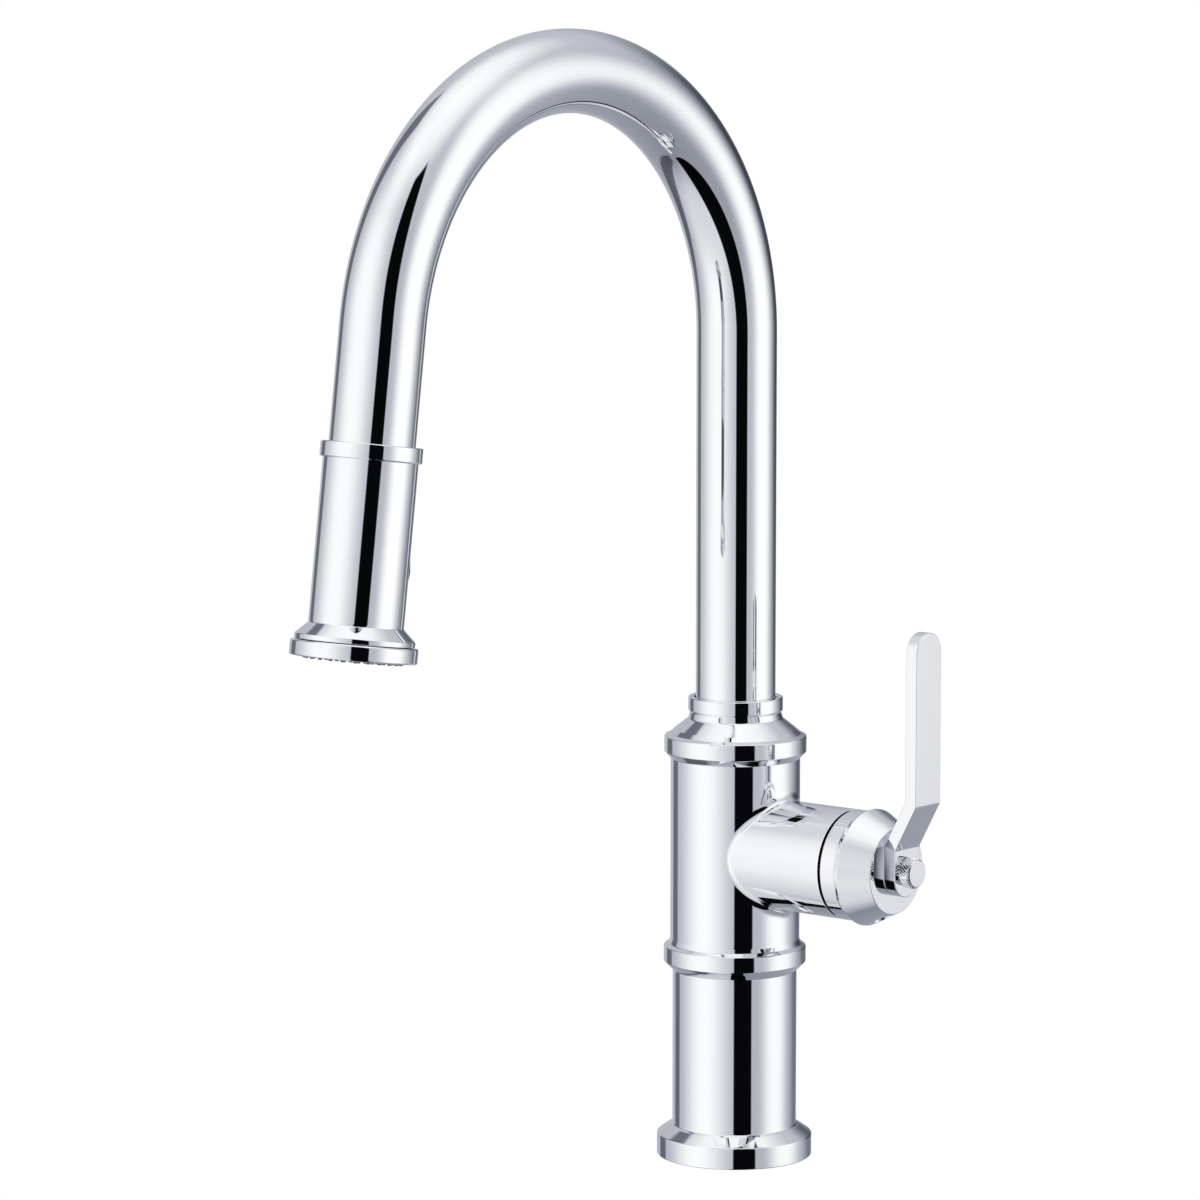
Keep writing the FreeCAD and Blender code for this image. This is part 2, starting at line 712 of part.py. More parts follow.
def upper_bush():
    high = TUBE_FOOT - FACE_GAP
    return ring(SOCKET_BORE_R - FIT, SPIGOT_R + FIT, high - 6.0, high)


def spigot_clip():
    low = clip_low()
    plate = ring(SOCKET_BORE_R - SLIDE_GAP, SPIGOT_R - 1.1, low, low + CLIP_T)
    return plate.cut(block(0, SOCKET_BORE_R + 5, -3, 3, low - 1, low + 5))


def friction_o_ring():
    return ring(SOCKET_BORE_R - FIT, SPIGOT_R, clip_low() + 3.0, clip_low() + 5.0)


# ---------------------------------------------------------------- outlet dock
def outlet_guide():
    high = FLOOR_AT - SLIDE_GAP - GUIDE_BACK
    return on_head_axis(turned([
        (FERRULE_R + DOCK_WALL, high - GUIDE_L, 1.2),
        (TUBE_BORE_R - FIT, high - GUIDE_L),
        (TUBE_BORE_R - FIT, high),
        (FERRULE_R + DOCK_WALL, high),
    ]))


def dock_magnet():
    high = FLOOR_AT - SLIDE_GAP - MAGNET_BACK
    return on_head_axis(ring(TUBE_BORE_R - FIT, FERRULE_R + DOCK_WALL, high - MAGNET_T, high))


# ---------------------------------------------------------------- spray head
def docking_collar():
    bore = FERRULE_R + 1.0
    outline = [
        (TUBE_R + SWIVEL_GAP, DOCK_AT, 0.2),
        (COLLAR_R, DOCK_AT, 0.5),
        (COLLAR_R, COLLAR_END, 0.5),
        (bore, COLLAR_END),
        (bore, FLOOR_AT + KEEPER_T + 2 * FIT),
        (TUBE_BORE_R - 0.4, FLOOR_AT + KEEPER_T + 2 * FIT),
        (TUBE_BORE_R - 0.4, FLOOR_AT),
        (TUBE_R + SWIVEL_GAP, FLOOR_AT),
    ]
    return on_head_axis(turned(outline))


def keeper_ring():
    """Steel ring in the collar that the magnet holds."""
    low = FLOOR_AT + FIT
    return on_head_axis(ring(TUBE_BORE_R - 0.4 - FIT, FERRULE_R + 1.2, low, low + KEEPER_T))


def rocker_tool(grow, low_r, high_r):
    """Rounded oblong sector of a sleeve about the head's axis, on the column side."""
    half_w = ROCKER_W / 2 + grow
    half_l = ROCKER_L / 2 + grow
    corner = ROCKER_W / 2 + grow - 0.1
    sleeve = ring(high_r, low_r, ROCKER_S - half_l - 1, ROCKER_S + half_l + 1)
    ends = half_l - corner
    shape = Part.makeCylinder(corner, 40, V(0, -40, ROCKER_S - ends), Y_AXIS)
    shape = shape.fuse([
        Part.makeCylinder(corner, 40, V(0, -40, ROCKER_S + ends), Y_AXIS),
        block(-half_w, half_w, -40, 0, ROCKER_S - ends, ROCKER_S + ends),
    ])
    return sleeve.common(shape.removeSplitter())


def head_shell():
    neck_bore = FERRULE_R + 0.6
    outline = [
        (neck_bore, COLLAR_END),
        (HEAD_R, COLLAR_END),
        (HEAD_R, SHELL_END - LIP_L - FLARE_L, 0.5),
        (FLARE_R, SHELL_END - LIP_L, 0.5),
        (FLARE_R, SHELL_END),
        (HEAD_BORE_R + 2.4, SHELL_END),
        (HEAD_BORE_R, SHELL_END - 5.0),
        (HEAD_BORE_R, COLLAR_END + 2.6),
        (neck_bore, COLLAR_END + 2.6),
    ]
    body = turned(outline).cut(rocker_tool(ROCKER_GAP, 5, HEAD_R + 3))
    return on_head_axis(body)


def face_ring():
    outline = [
        (HEAD_BORE_R + 0.5, SHELL_END),
        (FACE_R, SHELL_END, 0.5),
        (FACE_R, FACE_END, 0.6),
        (FACE_BORE_R, FACE_END, 0.3),
        (FACE_BORE_R, SHELL_END + 1.2),
        (HEAD_BORE_R + 0.5, SHELL_END + 1.2),
    ]
    return on_head_axis(turned(outline))


def nub_places():
    places = []
    for radius, count in NUB_RINGS:
        places += [at_angle(360.0 * i / count, radius) for i in range(count)]
    return places


def spray_face():
    low = FACE_END - 2.6
    high = FACE_END - 0.8
    body = ring(FACE_BORE_R - FIT, AERATOR_R + FIT, low, high)
    holes = [disc(NUB_R + FIT, low - 1, high + 1, x, y) for x, y in nub_places()]
    return on_head_axis(body.cut(Part.makeCompound(holes)))


def spray_nozzles():
    """One moulded rubber mat with a nub through every hole of the face."""
    mat = ring(FACE_BORE_R - FIT, AERATOR_R + FIT, SHELL_END + 1.3, FACE_END - 2.7)
    nubs = [disc(NUB_R, FACE_END - 2.8, FACE_END + NUB_STAND, x, y) for x, y in nub_places()]
    return on_head_axis(mat.fuse(nubs).removeSplitter())


def aerator():
    high = FACE_END - 0.4
    body = disc(AERATOR_R, SHELL_END - 3.0, high)
    return on_head_axis(body.cut(disc(AERATOR_R - AERATOR_WALL, high - AERATOR_CUP, FACE_END)))


def diverter_body():
    """Moulded core: check valve's bore at the top, flat under the rocker, open to the face."""
    top = COLLAR_END + CORE_TOP
    low = SHELL_END - CORE_END
    body = disc(HEAD_BORE_R - FIT, top, low)
    body = body.cut(block(-20, 20, -20, POCKET_DEPTH - HEAD_R, top - 1, SHELL_END - 12.0))
    body = body.cut(disc(FITTING_R, top - 1, top + VALVE_L + 1.0))
    return on_head_axis(body.cut(disc(CORE_WAY_R, top, low + 1)))


def check_valve():
    top = COLLAR_END + CORE_TOP + VALVE_SEAT
    return on_head_axis(ring(FITTING_R - FIT, CORE_WAY_R, top, top + VALVE_L))


def hose_connector():
    """Ferrule crimped on the hose, with the swivelling cone that seats in the head."""
    ferrule_low = DOCK_AT - 14.0
    flange = COLLAR_END + 2.8
    outline = [
        (HOSE_R + FIT, ferrule_low),
        (FERRULE_R, ferrule_low, 0.5),
        (FERRULE_R, flange),
        (10.5, flange),
        (10.5, flange + 2.4),
        (6.0, flange + 4.6),
        (3.2, flange + 4.6),
        (3.2, ferrule_low + FERRULE_L),
        (HOSE_R + FIT, ferrule_low + FERRULE_L),
    ]
    return on_head_axis(turned(outline))


# ---------------------------------------------------------------- rocker
def rocker_button():
    """Two-ended button that tips about its middle to choose spray or stream."""
    crown = HEAD_R + ROCKER_PROUD
    body = rocker_tool(0, crown - ROCKER_DEPTH, crown)
    groove = block(-ROCKER_W, ROCKER_W, -crown - 1, -crown + 0.7, ROCKER_S - 0.5, ROCKER_S + 0.5)
    body = body.cut(groove)
    pin_y = ROCKER_PIN_DEPTH - HEAD_R
    boss = Part.makeCylinder(
        ROCKER_BOSS_R, 2 * ROCKER_BOSS_HALF, V(-ROCKER_BOSS_HALF, pin_y, ROCKER_S), X_AXIS
    )
    body = body.fuse(boss)
    bore = Part.makeCylinder(ROCKER_PIN_R + FIT, 40, V(-20, pin_y, ROCKER_S), X_AXIS)
    return on_head_axis(body.cut(bore).removeSplitter())


def rocker_pin():
    pin_y = ROCKER_PIN_DEPTH - HEAD_R
    pin = Part.makeCylinder(
        ROCKER_PIN_R, 2 * ROCKER_PIN_HALF, V(-ROCKER_PIN_HALF, pin_y, ROCKER_S), X_AXIS
    )
    return on_head_axis(pin)


def rocker_cradle():
    """Moulded cheeks under the button that hold the pin's two ends."""
    pin_y = ROCKER_PIN_DEPTH - HEAD_R
    floor = POCKET_DEPTH - HEAD_R
    plate = block(-ROCKER_PIN_HALF, ROCKER_PIN_HALF, floor - 0.4, floor,
                  ROCKER_S - 8, ROCKER_S + 8)
    cheeks = []
    for side in (-1, 1):
        near = side * (ROCKER_BOSS_HALF + SLIDE_GAP)
        far = side * ROCKER_PIN_HALF
        cheeks.append(block(min(near, far), max(near, far), pin_y - 0.3, floor,
                            ROCKER_S - 2, ROCKER_S + 2))
    body = plate.fuse(cheeks)
    bore = Part.makeCylinder(ROCKER_PIN_R + FIT, 40, V(-20, pin_y, ROCKER_S), X_AXIS)
    return on_head_axis(body.cut(bore).removeSplitter())


# ---------------------------------------------------------------- hose
def spray_hose():
    return bent_rod(HOSE_R, HOSE_END, DOCK_AT - 14.0 + FERRULE_L - FACE_GAP)


def hose_end_fitting():
    """Push-in plug for the quick coupling under the deck."""
    low = HOSE_END - FITTING_L
    outline = [
        (2.6, low),
        (4.6, low, 0.6),
        (4.6, low + 7.0),
        (FITTING_R, low + 7.0),
        (FITTING_R, HOSE_END),
        (2.6, HOSE_END),
    ]
    return turned(outline)


# ---------------------------------------------------------------- under the deck
def shank():
    body = ring(SHANK_R, SHANK_BORE_R, SHANK_END, BASE_WEB)
    return body.fuse(ring(SHANK_FLANGE_R, SHANK_BORE_R, BASE_WEB, BASE_WEB + SHANK_FLANGE_H)
                     ).removeSplitter()


def base_seal():
    return ring(SEAL_OUT_R, SEAL_IN_R, 0, SEAL_T)


def deck_rubber_washer():
    return ring(WASHER_R, SHANK_R + FIT, -DECK - RUBBER_T, -DECK)


def deck_steel_washer():
    high = -DECK - RUBBER_T
    return ring(WASHER_R, SHANK_R + FIT, high - STEEL_T, high)


def nut_top():
    return -DECK - RUBBER_T - STEEL_T - JACK_STAND


def jack_centres():
    return [at_angle(360.0 * i / JACK_COUNT + 30, JACK_CIRCLE_R) for i in range(JACK_COUNT)]


def mounting_nut():
    body = ring(NUT_R, SHANK_R + FIT, nut_top() - NUT_H, nut_top())
    for x, y in jack_centres():
        body = body.cut(disc(JACK_R + FIT, nut_top() - NUT_H - 1, nut_top() + 1, x, y))
    return body


def jack_screws():
    high = nut_top() + JACK_STAND
    screws = []
    for x, y in jack_centres():
        head = disc(JACK_HEAD_R, high - JACK_L - JACK_HEAD_L, high - JACK_L, x, y)
        screws.append(disc(JACK_R, high - JACK_L, high, x, y).fuse(head).removeSplitter())
    return Part.makeCompound(screws)


# ---------------------------------------------------------------- write every piece
PIECES = [
    base_column, valve_housing, spout_bonnet, swivel_socket, inlet_manifold, valve_block,
    cartridge_sleeve, cartridge_seals, cartridge_clip, stem_bush, pivot_retainer,
    carrier_ring, hinge_pin,
    spindle, spindle_seals, cross_pin, handle_hub, hub_set_screw, screw_plug, lever, thumb_screw,
    spout_tube, swivel_spigot, lower_bush, upper_bush, spigot_clip, friction_o_ring,
    outlet_guide, dock_magnet, docking_collar, keeper_ring, head_shell, face_ring, spray_face,
    spray_nozzles, aerator, diverter_body, check_valve, hose_connector, rocker_button,
    rocker_pin, rocker_cradle, spray_hose, hose_end_fitting, shank, base_seal,
    deck_rubber_washer, deck_steel_washer, mounting_nut, jack_screws,
]

os.makedirs("parts", exist_ok=True)
for piece in PIECES:
    save(piece.__name__, piece())
for name, port_angle in PORT_ANGLES.items():
    save(name, riser(*at_angle(port_angle, PORT_CIRCLE_R)))
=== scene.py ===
import math

import bmesh
import bpy
from mathutils import Matrix, Vector


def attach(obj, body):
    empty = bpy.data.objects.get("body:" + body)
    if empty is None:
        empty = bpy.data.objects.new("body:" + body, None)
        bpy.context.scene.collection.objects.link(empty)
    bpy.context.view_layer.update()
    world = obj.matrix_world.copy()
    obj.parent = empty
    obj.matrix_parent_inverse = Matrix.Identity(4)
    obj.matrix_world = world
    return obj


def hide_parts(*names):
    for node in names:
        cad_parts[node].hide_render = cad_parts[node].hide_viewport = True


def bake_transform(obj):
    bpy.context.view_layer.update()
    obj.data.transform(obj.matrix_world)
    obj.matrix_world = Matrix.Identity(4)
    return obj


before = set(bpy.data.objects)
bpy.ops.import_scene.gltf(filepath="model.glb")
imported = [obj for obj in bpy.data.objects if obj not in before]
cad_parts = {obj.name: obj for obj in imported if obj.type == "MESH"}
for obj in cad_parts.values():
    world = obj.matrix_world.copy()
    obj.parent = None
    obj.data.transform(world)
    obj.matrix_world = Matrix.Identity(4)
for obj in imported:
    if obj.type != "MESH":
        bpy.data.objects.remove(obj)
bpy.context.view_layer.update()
scene = bpy.context.scene
scene.view_settings.view_transform = "Standard"

# ---------------------------------------------------------------- camera
# A long lens a little above the counter, off to the handle's side, so the lever stands to
# the right of the column and the spray head comes forward to the left.
camera = bpy.data.objects.new("camera", bpy.data.cameras.new("camera"))
camera.location = (1.0737082, -1.3616811, 0.4168398)
camera.rotation_euler = (math.radians(90 - 7.2076), 0, math.radians(39.8297))
camera.data.sensor_width = 36
camera.data.lens = 149.64
scene.collection.objects.link(camera)
scene.camera = camera


# ---------------------------------------------------------------- studio
# A white tent: a large soft panel on each side, a pale wall, a cool dim ground, a tall black
# card hung beside the camera and two dim gaps behind. Chrome shows nothing but these.
def linear(colour):
    """An sRGB hex colour as linear light, with alpha."""
    parts = [int(colour[i:i + 2], 16) / 255 for i in (0, 2, 4)]
    return [p / 12.92 if p <= 0.04045 else ((p + 0.055) / 1.055) ** 2.4 for p in parts] + [1.0]


def add(tree, kind, settings=None, links=None):
    """A node with its settings; each input takes a value or another node's output."""
    node = tree.nodes.new(kind)
    for name, value in (settings or {}).items():
        setattr(node, name, value)
    for name, source in (links or {}).items():
        if isinstance(source, bpy.types.NodeSocket):
            tree.links.new(source, node.inputs[name])
        else:
            node.inputs[name].default_value = source
    return node


CAMERA_BEARING = -50.17

studio = bpy.data.worlds.new("white_tent")
studio.use_nodes = True
scene.world = studio
tent = studio.node_tree
tent.nodes.clear()


def patch(bearing, height, width, rise, core):
    """1 inside a soft oval of the tent, 0 outside; core is the share that is even."""
    place = add(tent, "ShaderNodeMapping", links={
        0: sky_place, 1: (-bearing / width, -height / rise, 0), 3: (1 / width, 1 / rise, 0)})
    away = add(tent, "ShaderNodeVectorMath", {"operation": "LENGTH"}, {0: place.outputs[0]})
    return add(tent, "ShaderNodeMapRange", {"interpolation_type": "SMOOTHERSTEP"},
               {0: away.outputs["Value"], 1: core, 2: 1.0, 3: 1.0, 4: 0.0}).outputs[0]


def strip(middle, half, low, top, soft):
    """1 inside an upright strip of the tent, 0 outside, with edges soft degrees wide."""
    off = add(tent, "ShaderNodeMath", {"operation": "SUBTRACT"}, {0: bearing, 1: middle})
    off = add(tent, "ShaderNodeMath", {"operation": "ABSOLUTE"}, {0: off.outputs[0]})
    inside = 1.0
    for far, near in ((half, off.outputs[0]), (height, low), (top, height)):
        margin = add(tent, "ShaderNodeMath", {"operation": "SUBTRACT"}, {0: far, 1: near})
        edge = add(tent, "ShaderNodeMapRange", {"interpolation_type": "SMOOTHERSTEP"},
                   {0: margin.outputs[0], 1: -soft, 2: soft})
        inside = add(tent, "ShaderNodeMath", {"operation": "MULTIPLY"},
                     {0: edge.outputs[0], 1: inside}).outputs[0]
    return inside


heading = add(tent, "ShaderNodeMapping", links={
    0: add(tent, "ShaderNodeTexCoord").outputs["Generated"],
    2: (0, 0, math.radians(-CAMERA_BEARING))})
across = add(tent, "ShaderNodeSeparateXYZ", links={0: heading.outputs[0]})
turn = add(tent, "ShaderNodeMath", {"operation": "ARCTAN2"},
           {0: across.outputs[1], 1: across.outputs[0]})
bearing = add(tent, "ShaderNodeMath", {"operation": "DEGREES"}, {0: turn.outputs[0]}).outputs[0]
lean = add(tent, "ShaderNodeMath", {"operation": "ARCSINE"}, {0: across.outputs[2]})
height = add(tent, "ShaderNodeMath", {"operation": "DEGREES"}, {0: lean.outputs[0]}).outputs[0]
sky_place = add(tent, "ShaderNodeCombineXYZ", links={0: bearing, 1: height}).outputs[0]

# The wall's brightness by height, from straight down to straight up.
WALL_HEIGHTS = (-90, -55, -30, -8, 20, 45, 65, 90)
WALL_LIGHT = (0.29, 0.34, 0.39, 0.56, 0.53, 0.61, 0.98, 1.12)
climb = add(tent, "ShaderNodeMapRange", links={0: height, 1: -90, 2: 90})
wall = add(tent, "ShaderNodeValToRGB", links={0: climb.outputs[0]})
while len(wall.color_ramp.elements) < len(WALL_HEIGHTS):
    wall.color_ramp.elements.new(0.5)
for stop, tilt, light in zip(wall.color_ramp.elements, WALL_HEIGHTS, WALL_LIGHT):
    stop.position = tilt / 180 + 0.5
    stop.color = (light, light, light, 1)
light = wall.outputs["Color"]
for strength, panel in (
    (0.53, patch(-61, 14, 76, 76, 0.0)),
    (0.56, patch(80, 5, 46, 60, 0.15)),
    (0.42, patch(-53, -48, 110, 52, 0.25)),
):
    light = add(tent, "ShaderNodeMath", {"operation": "MULTIPLY_ADD"},
                {0: panel, 1: strength, 2: light}).outputs[0]

# The card widens a little towards its foot and narrows above 20 degrees.
CARD_BEARING = 13.6
CARD_TOP = 52
half_card = 16.2
below = add(tent, "ShaderNodeMath", {"operation": "MINIMUM"}, {0: height, 1: 0})
above = add(tent, "ShaderNodeMath", {"operation": "SUBTRACT"}, {0: height, 1: 20})
above = add(tent, "ShaderNodeMath", {"operation": "MAXIMUM"}, {0: above.outputs[0], 1: 0})
for reach, spread in ((below, 0.003), (above, -0.006)):
    squared = add(tent, "ShaderNodeMath", {"operation": "MULTIPLY"},
                  {0: reach.outputs[0], 1: reach.outputs[0]})
    half_card = add(tent, "ShaderNodeMath", {"operation": "MULTIPLY_ADD"},
                    {0: squared.outputs[0], 1: spread, 2: half_card}).outputs[0]
for share, gap in (
    (0.88, patch(148, 4, 42, 38, 0.1)),
    (0.70, strip(-136, 10.5, -80, 50, 3)),
    (0.995, strip(CARD_BEARING, half_card, -91, CARD_TOP, 1.5)),
):
    kept = add(tent, "ShaderNodeMath", {"operation": "MULTIPLY_ADD"}, {0: gap, 1: -share, 2: 1.0})
    light = add(tent, "ShaderNodeMath", {"operation": "MULTIPLY"},
                {0: light, 1: kept.outputs[0]}).outputs[0]

# Dim light turns cool, as in a tent's shade.
cool = add(tent, "ShaderNodeMapRange", links={0: light, 1: 0.15, 2: 0.95}).outputs[0]
tint = add(tent, "ShaderNodeMix", {"data_type": "RGBA"},
           {"Factor": cool, "A": (0.87, 0.93, 1.12, 1), "B": (1, 1, 1, 1)})
lit = add(tent, "ShaderNodeVectorMath", {"operation": "SCALE"},
          {0: tint.outputs["Result"], "Scale": light})
seen_in_chrome = add(tent, "ShaderNodeBackground", links={0: lit.outputs[0]})
seen_by_camera = add(tent, "ShaderNodeBackground", links={0: (1, 1, 1, 1)})
ray = add(tent, "ShaderNodeLightPath")
tent_mix = add(tent, "ShaderNodeMixShader", links={
    0: ray.outputs["Is Camera Ray"], 1: seen_in_chrome.outputs[0], 2: seen_by_camera.outputs[0]})
add(tent, "ShaderNodeOutputWorld", links={0: tent_mix.outputs[0]})

# ---------------------------------------------------------------- counter
# The plain white floor: a block with its top at deck height and its front edge behind the
# spray head, so that a head pulled right out hangs clear, as it would over a sink.
counter_form = bmesh.new()
bmesh.ops.create_cube(counter_form, size=1.0)
bmesh.ops.scale(counter_form, vec=(1.6, 1.4, 0.16), verts=counter_form.verts)
bmesh.ops.translate(counter_form, vec=(0, 0.57, -0.08), verts=counter_form.verts)
counter_mesh = bpy.data.meshes.new("counter")
counter_form.to_mesh(counter_mesh)
counter_form.free()
counter = bpy.data.objects.new("counter", counter_mesh)
scene.collection.objects.link(counter)
laminate = bpy.data.materials.new("matt_white_laminate")
laminate.use_nodes = True
laminate.node_tree.nodes.clear()
glow = add(laminate.node_tree, "ShaderNodeEmission", links={0: (1, 1, 1, 1)})
add(laminate.node_tree, "ShaderNodeOutputMaterial", links={0: glow.outputs[0]})
counter_mesh.materials.append(laminate)
counter.visible_glossy = False
counter.visible_diffuse = False
counter.visible_shadow = False


# ---------------------------------------------------------------- base and lower column
# The foot of the faucet and the tube above it, turned from one brass bar, polished and
# chrome plated. A groove underneath holds the seal; the flange spreads the load on the deck.
def turned(outline, steps=128, closed=True):
    """A form turned about Z from (radius, height, round) corners in millimetres."""
    form = bmesh.new()
    corners = [form.verts.new((r * 0.001, 0, z * 0.001)) for r, z, *_ in outline]
    for here, ahead in zip(corners, corners[1:] + corners[:1] if closed else corners[1:]):
        form.edges.new((here, ahead))
    for corner, point in zip(corners, outline):
        if len(point) > 2:
            sides = [(edge.other_vert(corner).co - corner.co) for edge in corner.link_edges]
            half = sides[0].angle(sides[1]) / 2
            bmesh.ops.bevel(form, geom=[corner], offset=point[2] * 0.001 / math.tan(half),
                            segments=5, profile=0.5, affect="VERTICES", material=-1)
    bmesh.ops.spin(form, geom=form.verts[:] + form.edges[:], axis=(0, 0, 1), cent=(0, 0, 0),
                   angle=math.tau, steps=steps, use_merge=True)
    return form


def finished(name, form, material, crease=35):
    """The form as a piece: closed, facing outwards, smooth between its creases."""
    bmesh.ops.remove_doubles(form, verts=form.verts, dist=1e-6)
    bmesh.ops.recalc_face_normals(form, faces=form.faces)
    mesh = bpy.data.meshes.new(name)
    form.to_mesh(mesh)
    form.free()
    mesh.shade_smooth()
    mesh.set_sharp_from_angle(angle=math.radians(crease))
    mesh.materials.append(material)
    piece = bpy.data.objects.new(name, mesh)
    scene.collection.objects.link(piece)
    evened = piece.modifiers.new("even_normals", "WEIGHTED_NORMAL")
    evened.keep_sharp = True
    return piece


def chrome(name, colour, polish, ripple, ripple_rise):
    """Chromium over nickel: a mirror, with the polishing wheel's faint long ripple.

    polish is the roughness, ripple its length and ripple_rise its height in millimetres."""
    material = bpy.data.materials.new(name)
    material.use_nodes = True
    tree = material.node_tree
    shader = tree.nodes["Principled BSDF"]
    shader.inputs["Base Color"].default_value = linear(colour)
    shader.inputs["Metallic"].default_value = 1.0
    place = add(tree, "ShaderNodeTexCoord").outputs["Object"]
    haze = add(tree, "ShaderNodeTexNoise",
               links={"Vector": place, "Scale": 1000 / 9, "Detail": 3.0, "Roughness": 0.6})
    spread = add(tree, "ShaderNodeMapRange", links={
        0: haze.outputs[0], 1: 0.3, 2: 0.75, 3: polish * 0.6, 4: polish * 1.4})
    tree.links.new(spread.outputs[0], shader.inputs["Roughness"])
    swell = add(tree, "ShaderNodeTexNoise",
                links={"Vector": place, "Scale": 1000 / ripple, "Detail": 1.0})
    bump = add(tree, "ShaderNodeBump", links={
        "Height": swell.outputs[0], "Distance": ripple_rise * 0.001, "Strength": 1.0})
    tree.links.new(bump.outputs[0], shader.inputs["Normal"])
    return material


# Polished brass under bright chrome: a clean mirror, barely hazed.
chrome_on_brass = chrome("bright_chrome_on_polished_brass", "F3F4F6", 0.03, 14, 0.0012)
lower_column = finished("lower_column", turned([
    (16.6, 0), (20.5, 0), (20.5, 2), (25.5, 2), (25.5, 0), (27.4, 0, 0.4), (27.4, 7.5, 0.8),
    (23.0, 10.5, 0.6), (21.9, 11.1, 0.6), (21.9, 66.5), (18.9, 66.5), (18.9, 8), (16.6, 8),
]), chrome_on_brass)
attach(lower_column, "column")
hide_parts("base_column")


# ---------------------------------------------------------------- valve housing
# The upper column with its waist ring and the side barrel for the valve, cast in brass in
# one piece, so a soft fillet runs round the barrel's root. Polished and chrome plated.
def next_ring(form, ring, places):
    """Extrude a closed ring of vertices and move the new ones, in step, to their places."""
    rim = [form.edges.get((ring[i - 1], ring[i])) for i in range(len(ring))]
    made = bmesh.ops.extrude_edge_only(form, edges=rim)["geom"]
    fresh = {part for part in made if isinstance(part, bmesh.types.BMVert)}
    grown = [next(edge.other_vert(old) for edge in old.link_edges
                  if edge.other_vert(old) in fresh) for old in ring]
    for corner, place in zip(grown, places):
        corner.co = place
    return grown


def open_wall(form, opening, radius_at, low, high, around=88, up=40, rings=24):
    """The skin of a round wall about Z, from low to high, closing in on an opening.

    opening gives (turn, height) on the wall for an angle round the opening's middle, which
    faces +X. Returns those angles and the opening's vertices."""
    count = 2 * (around + up)
    first = math.pi / 2 - math.pi * around / count
    angles = [first + math.tau * i / count for i in range(count)]
    edge = []
    for i in range(around):
        edge.append((math.pi - math.tau * i / around, high))
    for i in range(up):
        edge.append((-math.pi, high + (low - high) * i / up))
    for i in range(around):
        edge.append((-math.pi + math.tau * i / around, low))
    for i in range(up):
        edge.append((math.pi, low + (high - low) * i / up))
    mouth = [opening(angle) for angle in angles]
    start = bmesh.ops.create_circle(form, segments=count, radius=1)["verts"]
    ring = start
    for step in range(rings + 1):
        share = (step / rings) ** 1.25
        places = []
        for (turn, rise), (far_turn, far_rise) in zip(mouth, edge):
            turn += (far_turn - turn) * share
            rise += (far_rise - rise) * share
            radius = radius_at(rise)
            places.append((radius * math.cos(turn), radius * math.sin(turn), rise))
        if step:
            ring = next_ring(form, ring, places)
        else:
            for corner, place in zip(ring, places):
                corner.co = place
    return angles, start


def join_in(form, other):
    """Add another form's faces to this one."""
    lump = bpy.data.meshes.new("lump")
    other.to_mesh(lump)
    other.free()
    form.from_mesh(lump)
    bpy.data.meshes.remove(lump)


def true_round(piece, placing, radius_at, low, high):
    """Give the faces of a round wall the exact round normals, whatever way its grid runs."""
    graph = bpy.context.evaluated_depsgraph_get()
    evened = piece.evaluated_get(graph).to_mesh()
    normals = [Vector(corner.vector) for corner in evened.corner_normals]
    piece.evaluated_get(graph).to_mesh_clear()
    mesh = piece.data
    back = placing.inverted()
    turn = placing.to_3x3()
    step = 1e-4
    for face in mesh.polygons:
        spots = [back @ mesh.vertices[i].co for i in face.vertices]
        if not all(low - 1e-6 <= spot.z <= high + 1e-6 and
                   abs(math.hypot(spot.x, spot.y) - radius_at(spot.z)) < 3e-6 for spot in spots):
            continue
        for loop, spot in zip(face.loop_indices, spots):
            slope = (radius_at(spot.z + step) - radius_at(spot.z - step)) / (2 * step)
            out = math.hypot(spot.x, spot.y)
            normals[loop] = (turn @ Vector((spot.x / out, spot.y / out, -slope))).normalized()
    piece.modifiers.clear()
    mesh.normals_split_custom_set(normals)


HANDLE_RISE = 0.1096
COLUMN_R = 0.0228
COLUMN_BORE_R = 0.0198
BARREL_R = 0.0192
BARREL_BORE_R = 0.0162
ROOT_R = 0.0034


def root_place(angle, share):
    """A point on the rolling-ball fillet: 0 on the column's skin, 1 on the barrel's."""
    reach = BARREL_R + ROOT_R
    y, z = reach * math.cos(angle), reach * math.sin(angle)
    ball = Vector((math.sqrt((COLUMN_R + ROOT_R) ** 2 - y * y), y, HANDLE_RISE + z))
    to_column = -Vector((ball.x, ball.y, 0)).normalized()
    to_barrel = -Vector((0, y, z)).normalized()
    return ball + to_column.slerp(to_barrel, share) * ROOT_R


def root_mouth(angle):
    spot = root_place(angle, 0)
    return math.atan2(spot.y, spot.x), spot.z


def bore_mouth(angle):
    y, z = BARREL_BORE_R * math.cos(angle), BARREL_BORE_R * math.sin(angle)
    return math.asin(y / COLUMN_BORE_R), HANDLE_RISE + z


